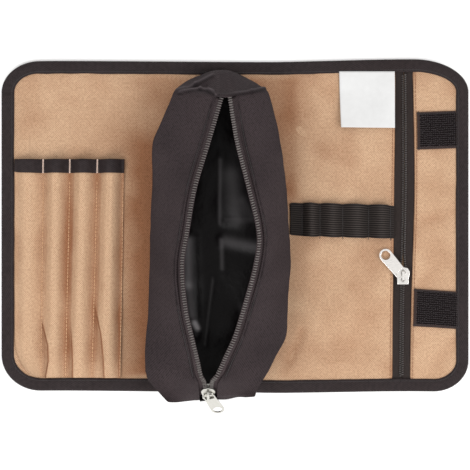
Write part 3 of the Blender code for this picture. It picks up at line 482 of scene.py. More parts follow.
def mark(piece, label, amounts):
    """Gives each point a number that its material reads: how much painted shade or painted highlight it gets."""
    layer = piece.data.attributes.new(label, "FLOAT", "POINT")
    layer.data.foreach_set("value", np.asarray(amounts, float).ravel())
    return piece


def thicken(piece, thickness, offset):
    wall = piece.modifiers.new("thickness", "SOLIDIFY")
    wall.thickness = thickness
    wall.offset = offset
    wall.use_even_offset = True
    return piece


def on_roll(piece, slot, *nodes):
    """The piece rides on the roll and stands for these solids. slot is not used."""
    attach(piece, "roll")
    if nodes:
        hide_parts(*nodes)
    return piece


# %% [markdown]
# ## The panel's outline
# The panel is a rectangle with unequal round corners and slightly wavy long edges. All the layers
# share that outline at different insets, so it is one function.

# %% Outline
CLOTH = 1.0 * MM
TAPE = 0.8 * MM
CLEARANCE = 0.3 * MM
BINDING_WIDTH = 11 * MM
BINDING_TUCK = 3.4 * MM
PANEL_WIDTH = 400 * MM
PANEL_DEPTH = 283 * MM
CORNER_RADIUS = 32 * MM

# Each corner's reach across and down, as shares of the corner radius
CORNERS = {(1, -1): (1.03, 0.84), (1, 1): (1.44, 0.86), (-1, 1): (0.95, 0.84), (-1, -1): (1.06, 0.97)}

# The top and bottom edges' waves, as shares of the panel's depth
EDGE_WAVES = table(
    "along top bottom",
    (0.00, 0.000, 0.002),
    (0.15, 0.001, 0.003),
    (0.50, -0.002, -0.002),
    (0.60, -0.002, -0.004),
    (0.85, 0.006, 0.001),
    (1.00, 0.004, -0.001),
)


def corner_reach(side, end, inset):
    return [max(share * CORNER_RADIUS - inset, CORNER_RADIUS * 0.15) for share in CORNERS[side, end]]


def edge_y(side, x, inset=0.0):
    """The y of the top (side 1) or bottom (side -1) edge at x, moved in by inset."""
    x = np.asarray(x, float)
    wave = along(EDGE_WAVES, "top" if side > 0 else "bottom", x / PANEL_WIDTH + 0.5)
    y = side * (PANEL_DEPTH / 2 - inset) + wave * PANEL_DEPTH
    for end in (-1, 1):
        reach_x, reach_y = corner_reach(side, end, inset)
        beyond = np.clip(end * x - (PANEL_WIDTH / 2 - inset - reach_x), 0.0, reach_x) / reach_x
        y = y - side * reach_y * (1 - np.sqrt(1 - beyond**2))
    return y


def edge_stations(side, inset, corner_steps, straight_steps):
    """The x values of an edge's points, close together round its corners."""
    turn = np.linspace(0, math.pi / 2, corner_steps + 1)
    left, right = -PANEL_WIDTH / 2 + inset, PANEL_WIDTH / 2 - inset
    left_reach, right_reach = corner_reach(side, -1, inset)[0], corner_reach(side, 1, inset)[0]
    straight = np.linspace(left + left_reach, right - right_reach, straight_steps + 1)[1:-1]
    return np.concatenate(
        [left + left_reach * (1 - np.cos(turn)), straight, right - right_reach * (1 - np.sin(turn))]
    )


def outline(inset, corner_steps=20, straight_steps=110, side_steps=80):
    """The panel's outline at this inset, clockwise from the left edge's top, as (x, y) rows."""
    x_top = edge_stations(1, inset, corner_steps, straight_steps)
    x_low = edge_stations(-1, inset, corner_steps, straight_steps)[::-1]
    top = np.stack([x_top, edge_y(1, x_top, inset)], axis=-1)
    low = np.stack([x_low, edge_y(-1, x_low, inset)], axis=-1)
    shares = np.linspace(0, 1, side_steps + 1)[1:-1, None]
    return np.concatenate([top, mix(top[-1], low[0], shares), low, mix(low[-1], top[0], shares)])


print("outline has", len(outline(0.0)), "points")

# %% [markdown]
# ## The lining's level
# What lies on the lining follows its soft ups and downs, so its height is read once from the packed
# solids, by dropping a ray on every other millimetre, and then smoothed. The slack of the cloth comes
# on top: broad soft puffs and finer ripples, calmer near the bound edge, where it is sewn down.

# %% Height of the lining
MAP_STEP = 2 * MM
MAP_PASSES = 5


def solid_tree(*names):
    """The faces of some solids, ready for rays to be dropped on them."""
    points, faces = [], []
    for name in names:
        mesh = NODES[name].data
        start = len(points)
        points += [v.co.copy() for v in mesh.vertices]
        faces += [tuple(start + i for i in face.vertices) for face in mesh.polygons]
    return BVHTree.FromPolygons(points, faces)


def height_map(*names):
    """The solids' upper height over the whole panel, with its gaps filled and its facets smoothed."""
    tree = solid_tree(*names)
    xs = np.arange(-PANEL_WIDTH / 2, PANEL_WIDTH / 2 + MAP_STEP, MAP_STEP)
    ys = np.arange(-PANEL_DEPTH / 2 - MAP_STEP, PANEL_DEPTH / 2 + 3 * MAP_STEP, MAP_STEP)
    heights = np.full((len(xs), len(ys)), np.nan)
    for i, x in enumerate(xs):
        for j, y in enumerate(ys):
            hit = tree.ray_cast(Vector((x, y, 0.2)), Vector((0, 0, -1)))[0]
            if hit is not None:
                heights[i, j] = hit.z
    for _ in range(40):
        heights = np.where(np.isnan(heights), neighbour_mean(heights), heights)
    for _ in range(MAP_PASSES):
        heights = neighbour_mean(heights)
    return xs, ys, heights


def neighbour_mean(grid):
    """Each cell's mean with its eight neighbours, leaving out empty ones."""
    padded = np.pad(grid, 1, mode="edge")
    near = [
        padded[i : i + grid.shape[0], j : j + grid.shape[1]] for i in range(3) for j in range(3)
    ]
    filled = ~np.isnan(near)
    total = np.where(filled, near, 0.0).sum(axis=0)
    count = filled.sum(axis=0)
    return np.where(count > 0, total / np.maximum(count, 1), np.nan)


# The lining's dips, as strokes in millimetres
LINING_DIPS = [
    (163, 4, 192, 15, 6, 1.1),
    (159, -50, 170, -34, 5, 0.7),
    (174, -116, 189, -99, 6, 1.0),
    (163, 96, 190, 84, 6, 0.8),
    (58, -90, 42, -127, 4, 0.9),
    (56, 84, 78, 60, 6, 0.6),
    (60, 118, 63, 96, 4, 0.5),
    (84, 118, 88, 92, 5, 0.5),
]

LINING_MAP = height_map("lining_main", "lining_strip")


def lining_top(x, y):
    """The height of the lining's upper face, with the slack of its cloth."""
    xs, ys, heights = LINING_MAP
    u = np.clip((x - xs[0]) / MAP_STEP, 0, len(xs) - 1.001)
    v = np.clip((y - ys[0]) / MAP_STEP, 0, len(ys) - 1.001)
    i, j = np.floor(u).astype(int), np.floor(v).astype(int)
    low = mix(heights[i, j], heights[i + 1, j], u - i)
    high = mix(heights[i, j + 1], heights[i + 1, j + 1], u - i)
    return mix(low, high, v - j) + slack(x, y)


def slack(x, y):
    inside = np.minimum(PANEL_WIDTH / 2 - abs(x), PANEL_DEPTH / 2 - abs(y)) - BINDING_WIDTH
    calm = ease(inside / (18 * MM))
    broad = 1.3 * MM * relief(x, y, 38 * MM, 3)
    fine = 0.30 * MM * relief(x, y, 14 * MM, 8, turn=1.1)
    dips = MM * strokes(x, y, LINING_DIPS)
    return (broad + fine - dips) * calm


print("lining level", np.nanmin(LINING_MAP[2]), np.nanmax(LINING_MAP[2]))

# %% [markdown]
# ## The long zip's line
# The lining is cut open on the right for a long zip. The opening drifts and bows a little, because
# cloth stretches as it is sewn, and both of its edges are turned under and stitched.

# %% Zip window
ZIP_X = 143.8 * MM
ZIP_WINDOW = 16 * MM
ZIP_LINE = table(
    "along drift half",
    (0.00, -0.10, 0.47),
    (0.25, -0.06, 0.49),
    (0.62, 0.07, 0.54),
    (1.00, 0.05, 0.46),
)


def zip_middle(y):
    return ZIP_X + ZIP_WINDOW * along(ZIP_LINE, "drift", np.clip(y / PANEL_DEPTH + 0.5, 0, 1))


def zip_half(y):
    return ZIP_WINDOW * along(ZIP_LINE, "half", np.clip(y / PANEL_DEPTH + 0.5, 0, 1))


# %% [markdown]
# ## Back and lining
# The back is the outer cloth, flat on the table. The lining is a looser sheet above it, in two pieces
# with the zip's opening between them. The edge of each rolls down a little where it is turned under,
# and dips at every stitch.

# %% Back and lining sheets
STITCH_PITCH = 3.4 * MM
STITCH_INSET = 2.0 * MM

def lining_painted_shade(x, y):
    """Painted shade on the lining: darker in its dips, and in the hollow along both sides of the pouch."""
    left, right = -72.5 * MM - x, x - 46.5 * MM
    beside = ease((105 * MM - y) / (60 * MM))
    hollow = 1.05 * np.exp(-((np.maximum(left, 0) / (20 * MM)) ** 2)) * mix(0.35, 1.0, beside)
    shaded = 0.60 * np.exp(-((np.maximum(right, 0) / (9 * MM)) ** 2)) * ease((y + 5 * MM) / (40 * MM))
    near = np.where(x < 0, hollow, shaded) * ease((128 * MM - abs(y)) / (8 * MM) + 0.4)
    return near + 0.22 * strokes(x, y, LINING_DIPS)



def panel_grid(x_low, x_high, columns, rows, inset, from_corner=0):
    """x and y of a sheet's grid. x_low and x_high give its sides at each y."""
    share = np.linspace(0, 1, columns)
    up = np.linspace(0, 1, rows)
    middle_low, middle_high = float(x_low(0.0)), float(x_high(0.0))
    nominal = mix(middle_low, middle_high, share)[:, None]
    y = mix(edge_y(-1, nominal, inset), edge_y(1, nominal, inset), up[None, :])
    x = mix(x_low(y), x_high(y), share[:, None])
    return x, y


def make_back():
    side = PANEL_WIDTH / 2 - BINDING_TUCK
    x, y = panel_grid(lambda y: 0 * y - side, lambda y: 0 * y + side, 110, 90, BINDING_TUCK)
    inside = np.minimum(PANEL_WIDTH / 2 - abs(x), PANEL_DEPTH / 2 - abs(y)) - BINDING_WIDTH
    lift = (TAPE + CLEARANCE) * ease(1 - inside / (30 * MM))
    ripple = 0.25 * MM * (1 + relief(x, y, 30 * MM, 5)) * ease(inside / (20 * MM))
    points = np.stack([x, y, lift + ripple + CLOTH], axis=-1)
    piece = cloth_piece("back_cloth", points, TAN_OXFORD, CLOTH, uv=np.stack([x, y], axis=-1))
    return on_roll(piece, "tan_cloth", "back_panel")


def make_lining(name, node, side, columns):
    edge = BINDING_TUCK - PANEL_WIDTH / 2

    def window(y):
        return zip_middle(y) + side * zip_half(y)

    if side < 0:
        x, y = panel_grid(lambda y: 0 * y + edge, window, columns, 170, BINDING_TUCK)
    else:
        x, y = panel_grid(window, lambda y: 0 * y - edge, columns, 170, BINDING_TUCK)
    from_window = abs(x - window(y))
    rolled = -0.7 * MM * ease(1 - from_window / (1.4 * MM))
    pucker = np.cos(2 * math.pi * y / STITCH_PITCH) * np.exp(-(((from_window - STITCH_INSET) / (1.5 * MM)) ** 2))
    z = lining_top(x, y) + rolled - 0.16 * MM * (1 + pucker) * np.exp(
        -(((from_window - STITCH_INSET) / (1.2 * MM)) ** 2)
    )
    points = np.stack([x, y, z], axis=-1)
    piece = cloth_piece(name, points, TAN_OXFORD, CLOTH, uv=np.stack([x, y], axis=-1))
    # Painted shade: the lining's hollows and dips, and a dark line where the zip's window rolls under
    mark(piece, "fold", lining_painted_shade(x, y) + 0.5 * np.exp(-from_window / (0.8 * MM)))
    width = float(abs(window(0.0) - side * -edge)) if side > 0 else float(window(0.0) - edge)
    print(name, "flat", round(width, 4), "x", round(PANEL_DEPTH - 2 * BINDING_TUCK, 4))
    return on_roll(piece, "tan_cloth", node)


make_back()
make_lining("lining_left", "lining_main", -1, 230)
make_lining("lining_right", "lining_strip", 1, 40)

# %% [markdown]
# ## The bound edge
# A tape is folded in half round the panel's edge. It could be a bevelled curve, but a swept section
# keeps its two flat legs and its round fold. The section runs round the outline, and its inner edges
# wander by a quarter of a millimetre, as hand-fed tape does.

# %% Binding
BINDING_HEIGHT = 4.8 * MM


def binding_section():
    """The tape's U section as (inset, height, wander) rows, from its lower leg's end outwards."""
    half = BINDING_HEIGHT / 2
    width = BINDING_WIDTH
    turn = np.linspace(0, math.pi, 11)
    outer = [(half * (1 - math.sin(a)), half * (1 - math.cos(a)), 0.0) for a in turn]
    high = BINDING_HEIGHT
    upper = [(0.42 * width, high + 0.5 * MM, 0.3), (0.70 * width, high + 0.4 * MM, 0.6)]
    upper += [(0.93 * width, high, 0.9), (0.985 * width, high - 0.2 * MM, 1.0)]
    upper += [(width, high - 0.4 * MM, 1.0), (0.99 * width, high - TAPE, 1.0)]
    hollow = half - TAPE
    inner = [(TAPE + hollow * (1 - math.sin(a)), half + hollow * -math.cos(a), 0.0) for a in turn[::-2]]
    lower = [(width, TAPE, 1.0), (width, 0.0, 1.0)]
    return np.array(outer + upper + inner + lower)


def make_binding():
    section = binding_section()
    rings = [outline(inset) for inset, _, _ in section]
    middle = outline(0.0)
    step = np.linalg.norm(np.roll(middle, -1, axis=0) - middle, axis=-1)
    length = np.concatenate([[0.0], np.cumsum(step)[:-1]])
    inward = outline(BINDING_WIDTH) - middle
    inward /= np.linalg.norm(inward, axis=-1, keepdims=True)
    wander = 0.28 * MM * relief(middle[:, 0], middle[:, 1], 13 * MM, 21)
    ripple = 0.12 * MM * relief(middle[:, 0], middle[:, 1], 9 * MM, 22)
    points = np.empty((len(middle), len(section) + 1, 3))
    around = np.concatenate([[0.0], np.cumsum(np.linalg.norm(np.diff(section[:, :2], axis=0), axis=-1))])
    uv = np.empty((len(middle), len(section) + 1, 2))
    for k in range(len(section) + 1):
        inset, height, weight = section[k % len(section)]
        flat = rings[k % len(section)] + inward * (wander * weight)[:, None]
        points[:, k, :2] = flat
        points[:, k, 2] = height + (ripple * weight if height > BINDING_HEIGHT / 2 else 0.0)
        uv[:, k, 0] = length
        uv[:, k, 1] = around[min(k, len(section) - 1)]
    points[:, :, 2] = np.maximum(points[:, :, 2], 0.0)
    faces = grid_faces(*points.shape[:2], around=True)
    piece = make_piece("binding_tape", points, faces, EDGE_TAPE, uv)
    close_seams(piece)
    return on_roll(piece, "edge_tape", "edge_binding")


def close_seams(piece, distance=0.01 * MM):
    """Joins points that lie together and turns the faces outwards."""
    work = bmesh.new()
    work.from_mesh(piece.data)
    bmesh.ops.remove_doubles(work, verts=work.verts, dist=distance)
    bmesh.ops.recalc_face_normals(work, faces=work.faces)
    work.to_mesh(piece.data)
    work.free()
    piece.data.update()
    return piece


make_binding()

# %% [markdown]
# ## Geometry Nodes for what repeats along a path
# Stitches, zip loops and hooks are one small shape, repeated. The path is a mesh of edges whose points
# know which way is up and which way is ahead. The tree walks it at an even spacing, puts the shape
# there, turns it to fit, and shakes it a little with a fixed seed.


# %% Repeating tree
def repeat_tree():
    tree = bpy.data.node_groups.new("repeat_along_path", "GeometryNodeTree")
    sockets = (
        ("Path", "Geometry"),
        ("Shape", "Object"),
        ("Spacing", "Float"),
        ("Size", "Vector"),
        ("Shake", "Float"),
        ("Seed", "Int"),
        ("Finish", "Material"),
    )
    for name, kind in sockets:
        tree.interface.new_socket(name, in_out="INPUT", socket_type="NodeSocket" + kind)
    tree.interface.new_socket("Pieces", in_out="OUTPUT", socket_type="NodeSocketGeometry")
    given = add_node(tree, "NodeGroupInput").outputs
    curve = add_node(tree, "GeometryNodeMeshToCurve", {"Mesh": given["Path"]})
    spots = add_node(
        tree,
        "GeometryNodeCurveToPoints",
        {"Curve": curve.outputs[0], "Length": given["Spacing"]},
        mode="LENGTH",
    )
    ahead = add_node(tree, "GeometryNodeInputNamedAttribute", {"Name": "ahead"}, data_type="FLOAT_VECTOR")
    up = add_node(tree, "GeometryNodeInputNamedAttribute", {"Name": "up"}, data_type="FLOAT_VECTOR")
    facing = add_node(
        tree, "FunctionNodeAlignRotationToVector", {"Vector": ahead.outputs[0]}, axis="Y"
    )
    upright = add_node(
        tree,
        "FunctionNodeAlignRotationToVector",
        {"Rotation": facing.outputs[0], "Vector": up.outputs[0]},
        axis="Z",
        pivot_axis="Y",
    )
    minus = add_node(tree, "ShaderNodeMath", {0: given["Shake"], 1: -1.0}, operation="MULTIPLY")
    shake = add_node(
        tree,
        "FunctionNodeRandomValue",
        {"Min": (0.0, 0.0, 0.0), "Seed": given["Seed"]},
        data_type="FLOAT_VECTOR",
    )
    tree.links.new(minus.outputs[0], shake.inputs["Min"])
    tree.links.new(given["Shake"], shake.inputs["Max"])
    turned = add_node(
        tree,
        "FunctionNodeRotateRotation",
        {"Rotation": upright.outputs[0], "Rotate By": shake.outputs[0]},
        rotation_space="LOCAL",
    )
    shape = add_node(tree, "GeometryNodeObjectInfo", {"Object": given["Shape"], "As Instance": True})
    placed = add_node(
        tree,
        "GeometryNodeInstanceOnPoints",
        {
            "Points": spots.outputs["Points"],
            "Instance": shape.outputs["Geometry"],
            "Rotation": turned.outputs[0],
            "Scale": given["Size"],
        },
    )
    real = add_node(tree, "GeometryNodeRealizeInstances", {"Geometry": placed.outputs[0]})
    dressed = add_node(
        tree, "GeometryNodeSetMaterial", {"Geometry": real.outputs[0], "Material": given["Finish"]}
    )
    result = add_node(tree, "NodeGroupOutput")
    tree.links.new(dressed.outputs[0], result.inputs[0])
    return tree


REPEAT = repeat_tree()


def repeat_on_paths(name, paths, shape, spacing, size, finish, shake=0.04, seed=1):
    """Repeats a shape along paths, each given as its points, its ups and its aheads."""
    points, edges, ups, aheads = [], [], [], []
    for path, up, ahead in paths:
        start = len(points)
        points += np.asarray(path).tolist()
        ups += np.broadcast_to(up, np.shape(path)).tolist()
        aheads += np.asarray(ahead).tolist()
        edges += [(start + i, start + i + 1) for i in range(len(path) - 1)]
    mesh = bpy.data.meshes.new(name + "_path")
    mesh.from_pydata(points, edges, [])
    for label, values in (("up", ups), ("ahead", aheads)):
        mesh.attributes.new(label, "FLOAT_VECTOR", "POINT").data.foreach_set("vector", np.ravel(values))
    guide = bpy.data.objects.new(name + "_path", mesh)
    scene.collection.objects.link(guide)
    modifier = guide.modifiers.new("repeat", "NODES")
    modifier.node_group = REPEAT
    values = {
        "Shape": shape,
        "Spacing": spacing,
        "Size": size,
        "Shake": shake,
        "Seed": seed,
        "Finish": finish,
    }
    for item in REPEAT.interface.items_tree:
        if item.in_out == "INPUT" and item.name in values:
            modifier[item.identifier] = values[item.name]
    bpy.context.view_layer.update()
    graph = bpy.context.evaluated_depsgraph_get()
    made = bpy.data.meshes.new_from_object(guide.evaluated_get(graph))
    made.name = name
    bpy.data.objects.remove(guide, do_unlink=True)
    made.shade_smooth()
    piece = bpy.data.objects.new(name, made)
    scene.collection.objects.link(piece)
    print(name, len(made.polygons), "faces")
    return piece


def directions(path):
    """The way ahead at each point of a path."""
    ahead = np.gradient(np.asarray(path, float), axis=0)
    return ahead / np.linalg.norm(ahead, axis=-1, keepdims=True)


def helper_shape(name, points, faces):
    """A small shape for the tree to repeat. It is removed when all pieces are made."""
    mesh = bpy.data.meshes.new(name)
    mesh.from_pydata([tuple(p) for p in points], [], faces)
    mesh.shade_smooth()
    shape = bpy.data.objects.new(name, mesh)
    scene.collection.objects.link(shape)
    shape.hide_render = True
    HELPERS.append(shape)
    return shape


HELPERS = []


def tube_shape(name, line, radius, sides=5):
    """A closed tube along a short line of points, for loops and hooks."""
    line = [Vector(p) for p in line]
    points, faces = [], []
    for i, here in enumerate(line):
        ahead = (line[min(i + 1, len(line) - 1)] - line[max(i - 1, 0)]).normalized()
        side = ahead.cross(Vector((0.0, 1.0, 0.0)))
        side = side.normalized() if side.length > 0.01 else Vector((1.0, 0.0, 0.0))
        over = ahead.cross(side)
        for k in range(sides):
            a = 2 * math.pi * k / sides
            points.append(here + (side * math.cos(a) + over * math.sin(a)) * radius)
    for i in range(len(line) - 1):
        for k in range(sides):
            after = (k + 1) % sides
            low, high = i * sides, (i + 1) * sides
            faces.append((low + k, high + k, high + after, low + after))
    faces.append(tuple(range(sides)))
    faces.append(tuple(reversed(range((len(line) - 1) * sides, len(line) * sides))))
    return helper_shape(name, points, faces)


# A stitch is a short thread that dives into the cloth at both ends, one unit long along Y
STITCH = tube_shape(
    "stitch_shape",
    [(0, -0.5, -0.45), (0, -0.40, -0.05), (0, -0.15, 0.1), (0, 0.15, 0.1), (0, 0.40, -0.05), (0, 0.5, -0.45)],
    0.5,
    sides=6,
)


def stitches(name, paths, finish, length=2.5 * MM, width=0.55 * MM, spacing=STITCH_PITCH, seed=1):
    return repeat_on_paths(name, paths, STITCH, spacing, (width, length, width), finish, seed=seed)


def lying_path(x, y, above=0.1 * MM, level=lining_top):
    """A path on the lining, with up straight up."""
    points = np.stack([x, y, level(x, y) + above], axis=-1)
    return points, (0.0, 0.0, 1.0), directions(points)


# %% [markdown]
# ## Sewing on the panel
# The bound edge is sewn down close to the tape's inner edge, and the zip's opening along both sides.
# The thread in the tan cloth beside the zip is drawn browner than the cloth, as painted shade of its needle holes,
# and shows as a row of dots.

# %% Edge and window stitches
edge_line = outline(BINDING_WIDTH - 1.8 * MM)
edge_line = np.concatenate([edge_line, edge_line[:1]])
edge_points = np.column_stack([edge_line, np.full(len(edge_line), BINDING_HEIGHT + 0.12 * MM)])
edge_path = (edge_points, (0.0, 0.0, 1.0), directions(edge_points))
on_roll(stitches("binding_stitches", [edge_path], BLACK_THREAD, seed=4), "edge_tape")

window_paths = []
for side in (-1, 1):
    ys = np.linspace(edge_y(-1, ZIP_X, BINDING_WIDTH), edge_y(1, ZIP_X, BINDING_WIDTH), 120)
    xs = zip_middle(ys) + side * (zip_half(ys) + STITCH_INSET)
    window_paths.append(lying_path(xs, ys, above=-0.05 * MM))
on_roll(stitches("window_stitches", window_paths, BROWN_THREAD, length=1.7 * MM, width=0.7 * MM, seed=5), "tan_cloth")

# %% [markdown]
# ## The tool channels
# One sheet makes four channels. It is sewn down at the seams between them and is wider than what it
# covers, so it stands up in round fronts. At the foot the spare width is laid into pleats, each a
# fold line that wanders down from its seam. The upper edge is bound with black tape, and a zigzag bar
# of pale thread locks each seam there.

# %% Channel sheet
CHANNEL_RISE = 7.8 * MM
CHANNEL_FOOT_RISE = 1.2 * MM
CHANNEL_TOP = 57.6 * MM
CHANNEL_TAPE_WIDTH = 12 * MM
EDGE_KEEP = 0.6 * MM

# The seams as shares of the panel's width, and how high each channel stands
CHANNELS = table(
    "top foot rise",
    (-0.4715, -0.4715, 0.00),
    (-0.4095, -0.4150, 0.66),
    (-0.3525, -0.3625, 1.00),
    (-0.2938, -0.3060, 1.00),
    (-0.2365, -0.2440, 1.00),
)
CHANNEL_FALL = table(
    "along rise", (0.00, 0.92), (0.20, 1.00), (0.60, 0.95), (0.82, 0.62), (1.00, 0.00)
)

# The pleats' fold lines: x at five places from where each starts, as shares of the way down
PLEATS = [
    {"down": (0.68, 0.76, 0.85, 0.92, 1.00), "x": (-167.5, -164.5, -159.8, -159.2, -162.0), "deep": 1.9},
    {"down": (0.72, 0.80, 0.88, 0.94, 1.00), "x": (-140.5, -139.8, -139.0, -138.6, -138.8), "deep": 1.5},
    {"down": (0.62, 0.70, 0.80, 0.90, 1.00), "x": (-122.5, -118.8, -114.4, -112.4, -111.6), "deep": 2.0},
    {"down": (0.60, 0.70, 0.80, 0.90, 1.00), "x": (-99.4, -99.0, -98.8, -98.8, -99.0), "deep": 0.9},
]

# How dark the cloth lies along each seam, from the bound edge to the open side
SEAM_SHADE = np.array((0.0, 0.24, 0.62, 0.52, 0.50))
SEAM_FLAT = 2.0 * MM


def channel_foot_y(x):
    return edge_y(-1, x, BINDING_WIDTH + EDGE_KEEP)


def side_x(y):
    """The x at which the left bound edge ends at this y, round the lower corner too."""
    inset = BINDING_WIDTH + EDGE_KEEP
    reach_x, reach_y = corner_reach(-1, -1, inset)
    turn = np.clip((-y - (PANEL_DEPTH / 2 - inset - reach_y)) / reach_y, 0.0, 1.0)
    return -PANEL_WIDTH / 2 + inset + reach_x * (1 - np.sqrt(1 - turn * turn))


def channel_points(across, down, extra=0.0):
    """Points of the channel sheet's upper face. across counts channels, from 0 to 4."""
    number = np.clip(np.floor(across), 0, 3).astype(int)
    share = across - number
    low = channel_foot_y(PANEL_WIDTH * CHANNELS["foot"][1])
    seams = PANEL_WIDTH * mix(CHANNELS["top"][:, None], CHANNELS["foot"][:, None], np.ravel(down))
    seams[0] = side_x(mix(CHANNEL_TOP, low, np.ravel(down)))
    seams = seams.reshape((len(seams),) + np.shape(down))
    left = np.take_along_axis(seams, number[None], axis=0)[0]
    right = np.take_along_axis(seams, number[None] + 1, axis=0)[0]
    x = mix(left, right, share)
    y = mix(CHANNEL_TOP, channel_foot_y(x), down)
    from_seam = np.minimum(share, 1 - share) * (right - left)
    swell = ease((from_seam - SEAM_FLAT) / (0.36 * (right - left))) ** 0.8
    fall = along(CHANNEL_FALL, "rise", down)
    rise = CHANNELS["rise"][number + 1] * (CHANNEL_RISE * fall + CHANNEL_FOOT_RISE * (1 - fall)) * swell
    creased = 0.5 * MM * relief(x * 2.2, y * 0.6, 18 * MM, 31) * np.minimum(swell * 2, 1)
    z = lining_top(x, y) + CLOTH + CLEARANCE + rise + creased + pleats(x, y, down) + extra
    return np.stack([x, y, z], axis=-1)


def pleats(x, y, down):
    """The step of each fold line: cloth stands proud on its right and dips on its left."""
    total = np.zeros(np.shape(x))
    for pleat in PLEATS:
        away, grown = from_pleat(pleat, x, down)
        proud = np.where(away > 0, np.exp(-away / (4 * MM)), 0.0)
        dip = np.where(away <= 0, np.exp(away / (1.5 * MM)), 0.0)
        total += grown * pleat["deep"] * MM * (1.3 * proud - 0.5 * dip)
    return total


def from_pleat(pleat, x, down):
    """How far x lies to the right of a fold line, and how far the fold has grown there."""
    line = MM * np.interp(down, pleat["down"], pleat["x"])
    return x - line, ease((down - pleat["down"][0]) / 0.14)


def channel_painted_shade(across, down, x):
    """Painted shade on the channels' cloth: darker at the seams, softly on their left, and at the pleats; a painted
    highlight in each channel's middle.
    """
    number = np.clip(np.floor(across), 0, 3).astype(int)
    share = across - number
    reach = PANEL_WIDTH * np.diff(CHANNELS["top"])[number]
    right_of = 1 - ease((share * reach - 2.6 * MM) / (2.4 * MM))
    left_of = 1 - ease(((1 - share) * reach - 1.4 * MM) / (7.0 * MM))
    total = SEAM_SHADE[number] * right_of + SEAM_SHADE[number + 1] * left_of
    total *= 0.35 + 0.65 * along(CHANNEL_FALL, "rise", down)
    from_seam = np.minimum(share, 1 - share) * reach
    total += 0.40 * SEAM_SHADE[np.round(across).astype(int)] * np.exp(-((from_seam / (1.3 * MM)) ** 2))
    total -= 0.30 * np.sin(math.pi * share) ** 2
    for pleat in PLEATS:
        away, grown = from_pleat(pleat, x, down)
        line = np.exp(-((away / (0.75 * MM)) ** 2))
        soft = 0.35 * np.exp(-((away + 2.2 * MM) / (2.4 * MM)) ** 2)
        total += grown * (line + soft) * min(pleat["deep"] / 1.6, 1.0)
    return total


def tape_lift(down):
    """The sheet's upper edge stands on the lower leg of the tape that binds it."""
    depth = CHANNEL_TOP - channel_foot_y(0.0)
    return (TAPE + CLEARANCE) * ease(1 - (down * depth - CHANNEL_TAPE_WIDTH) / CHANNEL_TAPE_WIDTH)


def make_channels():
    depth = CHANNEL_TOP - channel_foot_y(0.0)
    across, down = np.meshgrid(
        np.linspace(0, 4, 201), np.linspace(1.0, (TAPE + CLEARANCE) / depth, 150), indexing="ij"
    )
    points = channel_points(across, down, tape_lift(down))
    steps = np.linalg.norm(np.diff(points[:, 75], axis=0), axis=-1)
    flat_x = np.concatenate([[0.0], np.cumsum(steps)])[:, None] + 0 * down
    piece = cloth_piece("channel_cloth", points, TAN_OXFORD, CLOTH, uv=np.stack([flat_x, points[..., 1]], -1))
    # Painted shade in the seams and pleats, and a painted highlight in the channels' middles
    mark(piece, "fold", channel_painted_shade(across, down, points[..., 0]))
    return on_roll(piece, "tan_cloth", "channel_sheet")


make_channels()

# %% Channel tape, seams and bar tacks


def surface_frames(points):
    """Unit normals of a grid's points, upwards."""
    across = np.gradient(points, axis=0)
    down = np.gradient(points, axis=1)
    normal = np.cross(across, down)
    normal /= np.linalg.norm(normal, axis=-1, keepdims=True)
    return normal * np.sign(normal[..., 2:3])


def make_channel_tape():
    """The tape folded over the sheet's upper edge, as a closed section swept across the channels."""
    depth = float(CHANNEL_TOP - channel_foot_y(0.0))
    width = CHANNEL_TAPE_WIDTH / depth
    gap = TAPE + CLEARANCE
    profile = np.array(
        [
            (width, -CLOTH - gap),
            (gap / depth, -CLOTH - gap),
            (0.25 * gap / depth, -CLOTH - 0.6 * gap),
            (0.0, -CLOTH / 2),
            (0.25 * gap / depth, 0.6 * gap),
            (gap / depth, gap),
            (0.5 * width, gap + 0.15 * MM),
            (0.96 * width, gap),
            (width, 0.7 * gap),
            (width, CLEARANCE / 2),
            (1.2 * TAPE / depth, CLEARANCE / 2),
            (1.2 * TAPE / depth, -CLOTH - CLEARANCE),
            (width, -CLOTH - CLEARANCE),
        ]
    )
    across, down = np.meshgrid(np.linspace(0, 4, 161), profile[:, 0], indexing="ij")
    base = channel_points(across, down, tape_lift(down))
    run = np.gradient(base, axis=0)
    normal = np.stack([-run[..., 2], 0 * run[..., 2], run[..., 0]], axis=-1)
    normal /= np.linalg.norm(normal, axis=-1, keepdims=True)
    points = base + normal * profile[None, :, 1:2]
    points = np.concatenate([points, points[:, :1]], axis=1)
    uv = flat_places(points)
    faces = grid_faces(*points.shape[:2])
    for end in (0, points.shape[0] - 1):
        ring = [end * points.shape[1] + k for k in range(points.shape[1] - 1)]
        faces.append(ring if end else ring[::-1])
    piece = close_seams(make_piece("channel_edge_tape", points, faces, EDGE_TAPE, uv))
    return on_roll(piece, "edge_tape", "channel_tape")


make_channel_tape()

seam_paths = []
for seam in (1, 2, 3, 4):
    down = np.linspace(0.075, 0.985, 100)
    across = np.full_like(down, seam if seam < 4 else 3.97)
    path = channel_points(across, down)
    path[:, 2] += 0.15 * MM
    seam_paths.append((path, (0.0, 0.0, 1.0), directions(path)))
# Real thread is 0.4 mm thick, and is drawn twice as coarse here so that it shows
seam_sewing = stitches(
    "channel_stitches", seam_paths, TAN_THREAD, length=1.5 * MM, width=0.8 * MM, spacing=3.2 * MM, seed=6
)
on_roll(seam_sewing, "tan_cloth")


# %% [markdown]
# ## Threads
# A bar tack is one thread that zigzags along the seam. It and the loose thread ends are thin round
# tubes along a short line of points.


